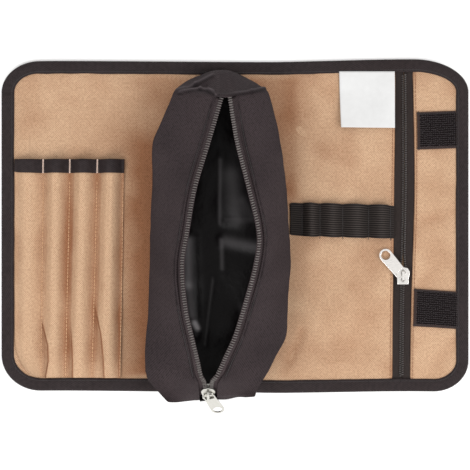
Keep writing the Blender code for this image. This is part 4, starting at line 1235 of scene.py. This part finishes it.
# %% Thread tubes
def thread_piece(name, lines, radius, finish, sides=6):
    """Round threads along lines of points, all in one mesh with closed ends."""
    points, faces = [], []
    for line in lines:
        line = np.asarray(line, float)
        ahead = directions(line)
        side = np.cross(ahead, (0.0, 0.0, 1.0))
        side /= np.maximum(np.linalg.norm(side, axis=-1, keepdims=True), 0.001)
        over = np.cross(side, ahead)
        start = len(points)
        for k, a in enumerate(2 * math.pi * np.arange(sides) / sides):
            points += (line + radius * (side * math.cos(a) + over * math.sin(a))).tolist()
        count = len(line)
        for k in range(sides):
            low, high = start + k * count, start + (k + 1) % sides * count
            faces += [(low + i, low + i + 1, high + i + 1, high + i) for i in range(count - 1)]
        faces.append([start + k * count for k in range(sides)])
        faces.append([start + k * count + count - 1 for k in range(sides)][::-1])
    piece = make_piece(name, points, faces, finish)
    return close_seams(piece)


tack_lines = []
for seam in (1, 2, 3):
    steps = 27
    down = np.linspace(0.002, 0.063, steps)
    sway = np.where(np.arange(steps) % 2, 1, -1) * 0.55 * MM
    line = channel_points(np.full(steps, float(seam)), down, tape_lift(down))
    line[:, 0] += sway
    line[:, 2] += TAPE + CLEARANCE + 0.35 * MM
    tack_lines.append(line)
on_roll(thread_piece("bar_tacks", tack_lines, 0.48 * MM, CREAM_THREAD), "tan_cloth")

# %% [markdown]
# ## The pouch
# The pouch stands open in the middle. Its sections, from the top end to the foot, say how wide the
# base, the shoulders and the mouth are and how high they stand. A sheet is lofted through them, its
# two ends are closed with bulging walls, its folds are rounded by smoothing, and creases and slack
# are pushed into it along its normals. Its inside is the coated side of the cloth.

# %% Pouch sections
POUCH_X = -12.5 * MM
POUCH_WIDTH = 120 * MM
POUCH_HEIGHT = 46 * MM
POUCH_WALL = 1.4 * MM
POUCH_SEAT = 2.9 * MM
POUCH_RIM_START = 108.7 * MM
POUCH_LENGTH = 254 * MM
POUCH_BASE_START = 128.5 * MM
POUCH_BASE_LENGTH = 256.5 * MM
TOP_PANEL_CROWN = 1.5 * MM
SIDE_BULGE = 5.0 * MM
TOP_END_BULGE = 9.5 * MM
FOOT_END_BULGE = 3.0 * MM
MOUTH_TO_COIL = 6.5 * MM
MOUTH_FLANGE = 6.0 * MM
MOUTH_LEVEL = 0.880
MOUTH_BEND = 0.925
MOUTH_STRAIGHT = 0.945
TAPE_END = 0.986
SEAM_INSET = 1.4 * MM
SEAM_GROOVE = 0.6 * MM

POUCH_SECTIONS = table(
    "along base_l base_r shoulder_l shoulder_r mouth_l mouth_r shoulder_z mouth_z crown slip_l slip_r slip_m",
    (0.00, -0.163, 0.154, -0.321, 0.338, -0.028, 0.108, 0.80, 0.84, 1.0, 0.1, 0.075, 0.0),
    (0.08, -0.270, 0.270, -0.402, 0.394, -0.078, 0.135, 0.74, 0.88, 1.0, 0.03, 0.02, 0.0),
    (0.16, -0.300, 0.300, -0.472, 0.427, -0.128, 0.166, 0.68, 0.93, 1.0, 0.0, 0.0, 0.0),
    (0.30, -0.310, 0.310, -0.480, 0.458, -0.215, 0.241, 0.60, 0.98, 1.0, 0.0, 0.0, 0.0),
    (0.45, -0.310, 0.310, -0.493, 0.482, -0.269, 0.309, 0.56, 1.00, 1.0, 0.0, 0.0, 0.0),
    (0.55, -0.310, 0.310, -0.494, 0.496, -0.300, 0.291, 0.56, 1.00, 1.0, 0.0, 0.0, 0.0),
    (0.70, -0.310, 0.310, -0.504, 0.479, -0.278, 0.208, 0.58, 0.98, 1.0, 0.0, 0.0, 0.0),
    (0.80, -0.310, 0.310, -0.520, 0.463, -0.233, 0.141, 0.64, 0.94, 1.0, 0.0, 0.0, 0.0),
    (0.86, -0.305, 0.290, -0.528, 0.386, -0.203, 0.083, 0.69, 0.90, 0.6, 0.0, 0.0, 0.0),
    (0.93, -0.290, 0.260, -0.519, 0.316, -0.170, 0.015, 0.74, 0.79, 0.0, -0.02, 0.01, 0.0),
    (0.945, -0.285, 0.250, -0.481, 0.294, -0.151, -0.016, 0.74, 0.72, -0.5, -0.03, 0.015, -0.01),
    (1.00, -0.250, 0.200, -0.365, 0.243, -0.142, -0.025, 0.70, 0.34, -2.4, -0.063, 0.037, -0.055),
)


def pouch_corner(share, part, side):
    """The pouch's base, shoulder or mouth at these shares, to the left or right."""
    share = np.asarray(share, float)
    x = POUCH_X + POUCH_WIDTH * along(POUCH_SECTIONS, f"{part}_{side}", share)
    if part == "base":
        y = POUCH_BASE_START - POUCH_BASE_LENGTH * share
        return np.stack([x, y, lining_top(x, y) + CLEARANCE], axis=-1)
    slip = "slip_m" if part == "mouth" else f"slip_{side}"
    y = POUCH_RIM_START - POUCH_LENGTH * share + POUCH_HEIGHT * along(POUCH_SECTIONS, slip, share)
    z = POUCH_SEAT + POUCH_HEIGHT * along(POUCH_SECTIONS, f"{part}_z", share)
    place = np.stack([x, y, z], axis=-1)
    if part == "mouth" and np.any(share > MOUTH_STRAIGHT):
        start = pouch_corner(MOUTH_STRAIGHT, part, side)
        end = pouch_corner_end(part, side)
        run = np.clip((share - MOUTH_STRAIGHT) / (1 - MOUTH_STRAIGHT), 0, 1)[..., None]
        place = np.where(share[..., None] > MOUTH_STRAIGHT, mix(start, end, run), place)
    return place


def pouch_corner_end(part, side):
    """The mouth's foot, straight from the table's last row."""
    x = POUCH_X + POUCH_WIDTH * POUCH_SECTIONS[f"{part}_{side}"][-1]
    y = POUCH_RIM_START - POUCH_LENGTH + POUCH_HEIGHT * POUCH_SECTIONS["slip_m"][-1]
    return np.array([x, y, POUCH_SEAT + POUCH_HEIGHT * POUCH_SECTIONS[f"{part}_z"][-1]])


def top_panel(share, side, steps):
    """Points from the mouth's edge to the shoulder, (shares, steps + 1, 3)."""
    mouth, shoulder = pouch_corner(share, "mouth", side), pouch_corner(share, "shoulder", side)
    t = (np.linspace(0, 1, steps + 1) ** 1.5)[None, :, None]
    points = mix(mouth[:, None], shoulder[:, None], t)
    crown = TOP_PANEL_CROWN * along(POUCH_SECTIONS, "crown", share)
    points[..., 2] += crown[:, None] * 4 * t[..., 0] * (1 - t[..., 0])
    from_mouth = t[..., 0] * np.linalg.norm(shoulder - mouth, axis=-1)[:, None]
    points[..., 2] -= SEAM_GROOVE * np.exp(-(((from_mouth - SEAM_INSET) / (0.7 * MM)) ** 2))
    return points


def side_wall(share, side, steps):
    """Points from the shoulder down to the base."""
    shoulder, base = pouch_corner(share, "shoulder", side), pouch_corner(share, "base", side)
    t = np.linspace(0, 1, steps + 1)[None, :, None]
    points = mix(shoulder[:, None], base[:, None], t)
    swell = SIDE_BULGE * (0.4 + 0.6 * np.sin(math.pi * share))
    points[..., 0] += (-1 if side == "l" else 1) * swell[:, None] * np.sin(math.pi * t[..., 0])
    return points


TOP_STEPS = 38
WALL_STEPS = 34
RIM_OVERHANG = 0.5 * MM
HEAD_OVERHANG = 1.9 * MM


def rim(panel, share):
    """The cloth's turned edge, which runs on over the zip's tape as far as the coil."""
    over = RIM_OVERHANG * (1 - ease((share - 0.83) / 0.07)) * ease(share / 0.03 + 0.3)
    inward = panel[:, 0] - panel[:, 1]
    inward /= np.linalg.norm(inward, axis=-1, keepdims=True)
    return panel[:, :1] + (inward * over[:, None])[:, None]


def pouch_loft(share):
    """Sections from the mouth's left edge, round the base, to the mouth's right edge."""
    west, east = side_wall(share, "l", WALL_STEPS), side_wall(share, "r", WALL_STEPS)
    t = np.linspace(0, 1, 2 * TOP_STEPS + 3)[None, :, None]
    base = mix(west[:, -1:], east[:, -1:], t)
    left, right = top_panel(share, "l", TOP_STEPS), top_panel(share, "r", TOP_STEPS)
    parts = [rim(left, share), left, west[:, 1:], base[:, 1:-1], east[:, :0:-1], right[:, ::-1]]
    return np.concatenate(parts + [rim(right, share)], axis=1)


def end_wall(share, bulge):
    """An end wall between the top panels, the two side walls and the base."""
    share = np.array([share])
    left, right = top_panel(share, "l", TOP_STEPS)[0], top_panel(share, "r", TOP_STEPS)[0]
    top = np.concatenate([left[::-1], [(left[0] + right[0]) / 2], right])
    west, east = side_wall(share, "l", WALL_STEPS)[0], side_wall(share, "r", WALL_STEPS)[0]
    foot = mix(west[-1], east[-1], np.linspace(0, 1, len(top))[:, None])
    a = np.linspace(0, 1, len(top))[:, None, None]
    b = np.linspace(0, 1, len(west))[None, :, None]
    points = mix(top[:, None], foot[:, None], b) + mix(west[None], east[None], a)
    points -= mix(mix(top[0], top[-1], a), mix(foot[0], foot[-1], a), b)
    points[..., 1] += bulge * np.sin(math.pi * a[..., 0]) * np.sin(math.pi * b[..., 0] ** 2)
    return points


def head_rim():
    """The end wall's turned edge, which runs on over the zip's tape between the two rims."""
    left, right = pouch_corner(np.array([0.0]), "mouth", "l")[0], pouch_corner(np.array([0.0]), "mouth", "r")[0]
    edge = np.stack([left, (left + right) / 2, right])
    over = np.array([0.35, 1.0, 0.35])[:, None] * np.array([0.0, -HEAD_OVERHANG, -0.4 * MM])
    return np.stack([edge + over, edge + over / 2, edge], axis=1)


# %% Pouch cloth
def mouth_frame(share, side):
    """The mouth's edge, the way across into the mouth, the normal and the way ahead."""
    share = np.atleast_1d(np.asarray(share, float))
    near, far = np.clip(share - 0.004, 0, 1), np.clip(share + 0.004, 0, 1)
    ahead = pouch_corner(near, "mouth", side) - pouch_corner(far, "mouth", side)
    ahead /= np.linalg.norm(ahead, axis=-1, keepdims=True)
    panel = top_panel(share, side, 3)
    edge = panel[:, 0]
    across = edge - panel[:, 1]
    across /= np.linalg.norm(across, axis=-1, keepdims=True)
    level = np.array([1.0 if side == "l" else -1.0, 0.0, 0.0])
    turn = ease((share - MOUTH_LEVEL) / (MOUTH_BEND - MOUTH_LEVEL))[:, None]
    across = mix(across, level, turn)
    across -= ahead * (across * ahead).sum(axis=-1, keepdims=True)
    across /= np.linalg.norm(across, axis=-1, keepdims=True)
    normal = np.cross(across, ahead) if side == "l" else np.cross(ahead, across)
    return edge, across, normal, ahead


# Creases as strokes on the plan with their heights in millimetres, ridges above 0
CREASES = [
    (-47.5, 113.5, -33.0, 119.5, 1.5, 1.4),
    (-33.0, 119.5, -19.0, 127.5, 1.7, 1.5),
    (-46.5, 112.0, -29.0, 114.6, 1.4, 1.4),
    (-29.0, 114.6, -18.3, 111.8, 1.5, 1.5),
    (-22.5, 113.6, -15.8, 108.6, 1.5, 1.3),
    (-2.0, 110.0, 14.0, 112.0, 1.4, 1.3),
    (14.0, 112.0, 25.0, 115.2, 1.4, 1.3),
    (-40.0, 116.6, -24.0, 118.2, 1.5, -1.4),
    (-45.0, 106.5, -10.0, 108.9, 1.2, 0.9),
    (-16.5, -141.0, 17.5, -142.0, 1.6, 0.9),
    (-20.0, -132.0, -48.0, -146.0, 6.0, 0.8),
    (-52.0, -60.0, -44.0, -20.0, 7.0, 0.7),
    (30.0, -70.0, 24.0, -110.0, 7.0, 0.8),
    (36.0, 40.0, 38.0, -10.0, 8.0, 0.7),
]


# Folds of the slack bottom inside, as strokes with their heights
INNER_FOLDS = [
    (-11.0, 62.0, -10.5, 4.0, 4.0, 0.7),
    (-2.0, 45.0, 4.0, 6.0, 10.0, 2.0),
    (-9.0, 3.5, 18.0, 3.5, 3.0, 1.0),
    (-8.0, -12.0, 18.0, -17.0, 6.0, 2.2),
    (-10.8, -10.0, -10.0, -40.0, 3.5, 0.6),
    (-37.5, -10.0, -35.0, -92.0, 6.0, 3.5),
    (-19.0, -45.0, -26.0, -101.0, 2.6, 0.5),
]

# Painted sheen: where the coating is drawn grey on those folds, as strokes with their amounts
COATING_PAINTED_SHEEN = [
    (-12.5, 57.0, -12.5, 3.0, 1.6, 0.20),
    (-3.0, 44.0, 2.0, 8.0, 7.5, 0.16),
    (6.0, 22.0, 14.0, 9.0, 4.0, 0.10),
    (-8.0, 5.5, 16.0, 5.5, 1.5, 0.08),
    (-7.0, -13.0, 17.0, -17.5, 4.4, 0.22),
    (-11.5, -12.0, -11.0, -36.0, 1.6, 0.16),
    (-40.6, -12.0, -39.8, -50.0, 3.2, 0.62),
    (-39.4, -50.0, -37.0, -76.0, 2.8, 0.36),
    (-34.8, -82.0, -32.4, -86.5, 2.0, 1.2),
    (-19.0, -45.0, -26.0, -101.0, 0.9, 0.10),
    (5.0, -68.0, 7.0, -76.0, 3.0, 0.06),
]


def merge_grids(name, grids, finish):
    """One surface out of grids that share their edges. The first one's weave starts at both rims."""
    points = np.concatenate([grid.reshape(-1, 3) for grid in grids])
    flats = [flat_places(grid) for grid in grids]
    flats[0][..., 1] = np.minimum(flats[0][..., 1], flats[0][:, -1:, 1] - flats[0][..., 1])
    uv = np.concatenate([flat.reshape(-1, 2) for flat in flats])
    faces, start = [], 0
    for grid in grids:
        faces += grid_faces(*grid.shape[:2], start=start)
        start += grid.shape[0] * grid.shape[1]
    return close_seams(make_piece(name, points, faces, finish, uv))


def soften(piece, passes, factor=0.5, lower_end=1.0):
    """Rounds a surface's folds below this y, leaving its open edge where it is."""
    work = bmesh.new()
    work.from_mesh(piece.data)
    inner = [v for v in work.verts if not v.is_boundary and v.co.y < lower_end]
    for _ in range(passes):
        bmesh.ops.smooth_vert(
            work, verts=inner, factor=factor, use_axis_x=True, use_axis_y=True, use_axis_z=True
        )
    work.to_mesh(piece.data)
    work.free()
    piece.data.update()


def push_out(piece, heights):
    """Moves each point along its normal by its height."""
    mesh = piece.data
    normals = np.array([v.normal for v in mesh.vertices])
    points = np.array([v.co for v in mesh.vertices]) + normals * heights[:, None]
    mesh.vertices.foreach_set("co", points.ravel())
    mesh.update()


def sewn_line(points):
    """Where the stitched groove beside the mouth gets painted shade: 1 along its line of stitches, falling off across
    it.
    """
    total = np.zeros(len(points))
    for side in ("l", "r"):
        edge, across, _, _ = mouth_frame(np.linspace(0.02, 0.93, 150), side)
        line = edge - across * SEAM_INSET
        for start in range(0, len(points), 4000):
            some = points[start : start + 4000]
            away = np.linalg.norm(some[:, None] - line[None], axis=-1).min(axis=1)
            total[start : start + 4000] += np.exp(-((away / (0.9 * MM)) ** 2))
    return total


def make_pouch():
    share = np.concatenate(
        [np.linspace(0, 0.9, 120), np.linspace(0.9, 1.0, 22)[1:]]
    )
    grids = [pouch_loft(share), end_wall(0.0, TOP_END_BULGE), end_wall(1.0, -FOOT_END_BULGE), head_rim()]
    piece = merge_grids("pouch_cloth", grids, BLACK_OXFORD)
    lowest = min(piece.data.polygons, key=lambda face: face.center.z)
    if lowest.normal.z > 0:
        piece.data.flip_normals()
    soften(piece, 4)
    soften(piece, 8, lower_end=-122 * MM)
    points = np.array([v.co for v in piece.data.vertices])
    x, y = points[:, 0], points[:, 1]
    upper = ease((points[:, 2] - 8 * MM) / (10 * MM))
    waves = 0.7 * MM * relief(points[:, 0] * 1.6 + points[:, 2], points[:, 1], 26 * MM, 41)
    waves += 0.25 * MM * relief(points[:, 0] + points[:, 2], points[:, 1], 9 * MM, 42)
    low = ease((9 * MM - points[:, 2]) / (4 * MM))
    slack_inside = 1.6 * MM * (1 + relief(x, y, 20 * MM, 43, turn=0.2))
    folds = low * (slack_inside + MM * strokes(x, y, INNER_FOLDS))
    push_out(piece, upper * (waves + MM * strokes(x, y, CREASES)) - folds)
    # Painted sheen on the coating's folds inside, and painted highlights on the head's crease crests
    crest_highlights = np.array(CREASES[:7]) * np.array([1.0, 1.0, 1.0, 1.0, 0.5, 0.22])
    mark(piece, "painted_highlight", low * strokes(x, y, COATING_PAINTED_SHEEN) + upper * strokes(x, y, crest_highlights))
    # Painted shade: dark lines just below the head's crease crests and along the stitched groove by the mouth
    under = np.array(CREASES[:7]) + np.array([0.0, -1.7, 0.0, -1.7, -0.3, 0.0])
    dark = 0.55 * strokes(x, y, under) + 1.0 * sewn_line(points)
    mark(piece, "fold", upper * dark)
    piece.data.materials.append(COATING)
    wall = thicken(piece, POUCH_WALL, -1.0).modifiers["thickness"]
    wall.use_even_offset = False
    wall.material_offset = 1
    return on_roll(piece, "black_cloth", "pouch_shell")


make_pouch()

# %% [markdown]
# ## The pouch's zip
# The zip runs along both edges of the mouth and meets in its slider at the foot. Each side is a woven
# tape, half of it hidden under the pouch's cloth, with a nylon coil on its inner edge. The coil is one
# loop of monofilament, repeated by Geometry Nodes: a leg across the tape, a head that hooks the other
# side, and a leg back above it.

# %% Pouch zip
COIL_WIDTH = 3.0 * MM
COIL_HEIGHT = 2.0 * MM
COIL_PITCH = 2.1 * MM
LONG_COIL_PITCH = 1.9 * MM

COIL_LOOP = tube_shape(
    "coil_loop_shape",
    [
        (2.9 * MM, -0.20 * MM, 0.35 * MM),
        (1.2 * MM, -0.15 * MM, 0.35 * MM),
        (0.15 * MM, -0.08 * MM, 0.55 * MM),
        (-0.15 * MM, 0.0, 1.05 * MM),
        (0.15 * MM, 0.08 * MM, 1.55 * MM),
        (1.2 * MM, 0.15 * MM, 1.80 * MM),
        (2.5 * MM, 0.25 * MM, 1.65 * MM),
        (3.1 * MM, 0.35 * MM, 0.95 * MM),
    ],
    0.36 * MM,
)


def make_pouch_zip():
    drop = POUCH_WALL + 2 * CLEARANCE + TAPE
    coil_paths, stitch_paths = [], []
    for side, name in (("l", "left"), ("r", "right")):
        share = np.linspace(0.003, TAPE_END, 160)
        edge, across, normal, ahead = mouth_frame(share, side)
        inner = edge + across * MOUTH_TO_COIL - normal * drop
        turn = ease((share - MOUTH_LEVEL) / (MOUTH_BEND - MOUTH_LEVEL))
        reach = MOUTH_TO_COIL + MOUTH_FLANGE * (1 - 0.75 * turn)
        out = np.linspace(0, 1, 10)[None, :, None] * reach[:, None, None]
        tape = inner[:, None] - across[:, None] * out + normal[:, None] * TAPE
        piece = cloth_piece(f"pouch_tape_{name}", tape, POUCH_TAPE, TAPE)
        on_roll(piece, "zip_coil", f"pouch_stringer_{name}")
        coil = inner + normal * TAPE
        # The loop's own x runs outwards across the tape, so ahead is up crossed with outwards
        coil_paths.append((coil, normal, np.cross(normal, -across)))
        sew = share[8:-12]
        edge, across, normal, ahead = mouth_frame(sew, side)
        stitch_paths.append((edge - across * SEAM_INSET - normal * 0.15 * MM, normal, ahead))
    size = (1.0, 1.0, 1.0)
    coil = repeat_on_paths("pouch_coil", coil_paths, COIL_LOOP, COIL_PITCH, size, COIL_NYLON, shake=0.02)
    on_roll(coil, "zip_coil")
    on_roll(stitches("mouth_stitches", stitch_paths, BLACK_THREAD, spacing=3 * MM, seed=8), "black_cloth")


make_pouch_zip()

# %% [markdown]
# ## The long zip
# The same tape and coil, flat under the lining's edges. The chain is shut below the slider and just
# parted above it, and both ends run in under the bound edge.

# %% Long zip
LONG_SLIDER_Y = -42.2 * MM
ZIP_TAPE_Z = 2.5 * MM
COIL_MESHED = 0.12 * MM
COIL_APART = 0.28 * MM
COIL_SPREAD = 1.35 * MM
SLIDER_LENGTH = 14.5 * MM


def long_coil_offset(y):
    """Half the gap between the two coils."""
    local, half = y - LONG_SLIDER_Y, SLIDER_LENGTH / 2
    parting = mix(COIL_MESHED, COIL_SPREAD, ease((local + half) / (1.4 * half)))
    settling = mix(COIL_SPREAD, COIL_APART, ease((local - 0.8 * half) / (2 * half)))
    return np.where(local < half, parting, settling)


def make_long_zip():
    paths = []
    low, high = edge_y(-1, ZIP_X, BINDING_WIDTH - 3 * MM), edge_y(1, ZIP_X, BINDING_WIDTH - 3 * MM)
    y = np.linspace(low, high, 180)
    for side, name in ((-1, "left"), (1, "right")):
        inner = zip_middle(y) + side * long_coil_offset(y)
        outer = zip_middle(y) + side * (zip_half(y) + 3.5 * MM)
        x = mix(inner[:, None], outer[:, None], np.linspace(0, 1, 10)[None, :])
        tape = np.stack([x, np.broadcast_to(y[:, None], x.shape), np.full(x.shape, ZIP_TAPE_Z + TAPE)], axis=-1)
        piece = cloth_piece(f"long_tape_{name}", tape, ZIP_TAPE, TAPE)
        on_roll(piece, "zip_coil", f"long_stringer_{name}")
        shut = y[4:-4]
        line = np.stack([inner[4:-4], shut, np.full(shut.shape, ZIP_TAPE_Z + TAPE)], axis=-1)
        ahead = np.broadcast_to(np.array([0.0, float(side), 0.0]), line.shape)
        paths.append((line + np.array([0, side * LONG_COIL_PITCH / 4, 0]), (0.0, 0.0, 1.0), ahead))
    size = (0.56, 1.0, 0.8)
    coil = repeat_on_paths("long_coil", paths, COIL_LOOP, LONG_COIL_PITCH, size, DARK_NYLON, shake=0.02)
    on_roll(coil, "zip_coil")


make_long_zip()

# %% [markdown]
# ## Sliders and pull tabs
# These solids already have the right shape, so they stay, and get nickel and softened edges: a Weld
# joins their loose triangles and a small Bevel rounds the cast edges, which is where metal catches
# light.

# %% Metal
for name in ("long_zip_slider", "long_zip_tab", "pouch_zip_slider", "pouch_zip_tab"):
    metal = NODES[name]
    metal.data.materials.clear()
    metal.data.materials.append(SHADED_NICKEL if name.startswith("pouch") else NICKEL)
    weld = metal.modifiers.new("weld", "WELD")
    weld.merge_threshold = 0.005 * MM
    bevel = metal.modifiers.new("cast_edge", "BEVEL")
    bevel.width = 0.22 * MM
    bevel.segments = 2
    bevel.limit_method = "ANGLE"
    bevel.angle_limit = math.radians(40)
    bevel.harden_normals = False

# %% [markdown]
# ## The elastic
# The elastic is sewn down at five seams and stands up in four loops. Its cords run along it as fine
# ribs, its edges ripple where the seams draw them in, and the cut ends of the sewing thread stick out
# below.

# %% Elastic
ELASTIC_WIDTH = 28.5 * MM
ELASTIC_THICKNESS = 1.2 * MM
ELASTIC_LEVEL = 6.0 * MM
ELASTIC_SLOPE = -0.028
LOOP_RISE = 6.8 * MM
ELASTIC_SEAMS = PANEL_WIDTH * np.array((0.1435, 0.1820, 0.2305, 0.2858, 0.3320))
ELASTIC_ENDS = PANEL_WIDTH * np.array((0.1185, 0.3400))
ELASTIC_RIBS = 15


def elastic_points(x, up):
    """Points of the elastic's upper face, up running from its lower edge to its upper one."""
    rise = np.zeros(np.shape(x))
    for left, right in zip(ELASTIC_SEAMS, ELASTIC_SEAMS[1:]):
        share = np.clip((x - left) / (right - left), 0, 1)
        rise += LOOP_RISE * ((1 - np.cos(2 * math.pi * share)) / 2) ** 0.75
    drawn = 1 - 0.045 * np.exp(-rise / (1.0 * MM))
    from_end = np.clip((x - ELASTIC_ENDS[0]) / (2.5 * MM), 0, 1)
    drawn = drawn - 0.10 * (1 - np.sqrt(1 - (1 - from_end) ** 2))
    middle = ELASTIC_LEVEL + ELASTIC_SLOPE * (x - ELASTIC_SEAMS[0])
    wave = 0.35 * MM * relief(x, 0 * x, 7 * MM, 51)
    y = middle + wave + ELASTIC_WIDTH * (up - 0.5) * drawn
    ribs = 0.22 * MM * np.cos(2 * math.pi * ELASTIC_RIBS * up)
    z = lining_top(x, y) + CLEARANCE + rise + ELASTIC_THICKNESS + ribs
    return np.stack([x, y, z], axis=-1)


def make_elastic():
    x, up = np.meshgrid(
        np.linspace(ELASTIC_ENDS[0], ELASTIC_ENDS[1], 150), np.linspace(0, 1, 103), indexing="ij"
    )
    points = elastic_points(x, up)
    piece = cloth_piece("elastic_band", points, ELASTIC, ELASTIC_THICKNESS)
    # Painted highlight on the ribs' crests, strongest where the loops stand highest
    crest = np.clip(np.cos(2 * math.pi * ELASTIC_RIBS * up), 0, 1)
    loop = np.clip((points[..., 2] - lining_top(x, points[..., 1])) / LOOP_RISE, 0, 1)
    mark(piece, "painted_highlight", crest * (0.45 + 0.55 * loop))
    on_roll(piece, "elastic", "elastic_loops")
    seams, tails = [], []
    for k, seam in enumerate(ELASTIC_SEAMS):
        up = np.linspace(0.04, 0.96, 40)
        path = elastic_points(np.full_like(up, seam), up)
        path[:, 2] += 0.1 * MM
        seams.append((path, (0.0, 0.0, 1.0), directions(path)))
        if k > 0:
            start = elastic_points(np.array([seam]), np.array([0.01]))[0]
            fall = np.linspace(0, 1, 6)[:, None]
            tails.append(start + fall * np.array([0.3 * MM * (-1) ** k, -2.6 * MM, -0.6 * MM]))
    on_roll(stitches("elastic_stitches", seams, BLACK_THREAD, spacing=2.4 * MM, length=2 * MM, seed=9), "elastic")
    on_roll(thread_piece("thread_tails", tails, 0.28 * MM, BLACK_THREAD), "elastic")


make_elastic()

# %% [markdown]
# ## Hook patches
# Two rectangles of hook tape are sewn to the right edge. The tape is a woven base with a smooth
# selvage all round and rows of little nylon hooks between. The hooks are one small bent tube, repeated
# along rows.

# %% Hook patches
PATCH_WIDTH = 35.5 * MM
PATCH_DEPTH = 32 * MM
PATCH_BASE = 1.0 * MM
PATCH_BORDER = 2.2 * MM
PATCHES = (("upper", 0.3900, 0.2320, 0.038), ("lower", 0.3810, -0.3010, -0.070))

HOOK = tube_shape(
    "hook_shape",
    [(0, 0, 0), (0, 0, 0.55 * MM), (0.22 * MM, 0, 0.95 * MM), (0.6 * MM, 0, 0.85 * MM), (0.7 * MM, 0, 0.5 * MM)],
    0.28 * MM,
    sides=4,
)


def patch_points(start, width, tilt, a, b):
    """Points of a patch's upper face, a across and b up, each from 0 to 1."""
    x = start[0] + a * width - b * PATCH_DEPTH * tilt / 3
    y = start[1] + b * PATCH_DEPTH + a * width * tilt
    return np.stack([x, y, lining_top(x, y) + CLEARANCE + PATCH_BASE], axis=-1)


def make_patch(name, across, up, tilt, seed):
    start = (across * PANEL_WIDTH, up * PANEL_DEPTH)
    limit = PANEL_WIDTH / 2 - BINDING_WIDTH + 0.5 * MM
    width = min(PATCH_WIDTH + 2 * MM, limit - start[0] - PATCH_DEPTH * abs(tilt) / 3)
    a, b = np.meshgrid(np.linspace(0, 1, 46), np.linspace(0, 1, 42), indexing="ij")
    points = patch_points(start, width, tilt, a, b)
    from_edge = np.minimum(np.minimum(a, 1) * width, np.minimum(b, 1 - b) * PATCH_DEPTH)
    points[..., 2] += 0.25 * MM * ease((from_edge - PATCH_BORDER) / MM)
    piece = cloth_piece(f"hook_tape_{name}", points, SELVAGE, PATCH_BASE)
    piece.data.materials.append(HOOK_GROUND)
    field = (from_edge[:-1, :-1] > PATCH_BORDER).ravel().astype(np.int32)
    piece.data.polygons.foreach_set("material_index", field)
    on_roll(piece, "hook_tape", f"hook_patch_{name}")
    rows, sewn = [], []
    for b in np.linspace(PATCH_BORDER / PATCH_DEPTH, 1 - PATCH_BORDER / PATCH_DEPTH, 16):
        a = np.linspace(PATCH_BORDER / width, 1.0, 30)
        path = patch_points(start, width, tilt, a, np.full_like(a, b))
        path[:, 2] += 0.2 * MM
        rows.append((path, (0.0, 0.0, 1.0), np.broadcast_to((0.0, 1.0, 0.0), path.shape)))
    size = (1.0, 1.0, 1.0)
    hooks = repeat_on_paths(f"hooks_{name}", rows, HOOK, 1.6 * MM, size, HOOK_NYLON, shake=0.5, seed=seed)
    on_roll(hooks, "hook_tape")
    inset = 1.2 * MM
    border = [(1, inset / PATCH_DEPTH), (inset / width, inset / PATCH_DEPTH)]
    border += [(inset / width, 1 - inset / PATCH_DEPTH), (1, 1 - inset / PATCH_DEPTH)]
    for near, far in zip(border, border[1:]):
        t = np.linspace(0, 1, 20)
        path = patch_points(start, width, tilt, mix(near[0], far[0], t), mix(near[1], far[1], t))
        path[:, 2] += 0.12 * MM
        sewn.append((path, (0.0, 0.0, 1.0), directions(path)))
    on_roll(stitches(f"patch_stitches_{name}", sewn, BLACK_THREAD, spacing=2.8 * MM, seed=seed), "hook_tape")


for seed, (name, across, up, tilt) in enumerate(PATCHES):
    make_patch(name, across, up, tilt, 12 + seed)

# %% [markdown]
# ## The label
# A white satin label is folded in half and its open end is sewn in under the bound edge. It is blank.
# Its lower left corner lifts off the lining a little. The sheet goes down the front, round the fold
# and back up behind.

# %% Label
LABEL_WIDTH = 47.5 * MM
LABEL_LENGTH = 46 * MM
LABEL_CURL = 2.2 * MM
LABEL_THICKNESS = 0.3 * MM


def make_label():
    right = float(zip_middle(PANEL_DEPTH / 3) - zip_half(PANEL_DEPTH / 3)) - CLEARANCE
    left = right - LABEL_WIDTH
    top = float(min(edge_y(1, left, BINDING_WIDTH), edge_y(1, right, BINDING_WIDTH))) + 1.5 * MM
    low = top - LABEL_LENGTH - 2 * MM
    a = np.linspace(0, 1, 40)[:, None]
    back = np.linspace(0, 1, 30)
    fold = np.linspace(0, math.pi, 9)[1:-1]
    radius = 0.35 * MM
    b = np.concatenate([back, 1 + 0 * fold, back[::-1]])[None, :]
    front = np.concatenate([0 * back + 2 * radius, radius + radius * np.cos(fold), 0 * back])[None, :]
    bow = np.concatenate([0 * back, radius * np.sin(fold), 0 * back])[None, :]
    x = left + a * LABEL_WIDTH + b * (1 - a) * 1.5 * MM
    y = mix(top, low, b) - bow + 0.6 * MM * (1 - a) * b
    curl = LABEL_CURL * b**2 * (1 - a) ** 1.5
    dimple = 0.5 * MM * relief(x, y, 15 * MM, 61)
    z = lining_top(x, y) + LABEL_THICKNESS + CLEARANCE + front + curl + dimple * ease(b * 3) + 0.2 * MM
    points = np.stack(np.broadcast_arrays(x, y, z), axis=-1)
    piece = make_piece("satin_label", points, grid_faces(*points.shape[:2]), SATIN, flat_places(points))
    if piece.data.polygons[5].normal.z < 0:
        piece.data.flip_normals()
    thicken(piece, LABEL_THICKNESS, 0.0)
    on_roll(piece, "label_satin", "blank_label")


make_label()

# %% [markdown]
# ## Finish
# The shapes that the tree repeated aren't part of the roll, so they go. The two pull tabs ride on
# their own bodies already.

# %% Clean up and finish
for shape in HELPERS:
    bpy.data.objects.remove(shape, do_unlink=True)
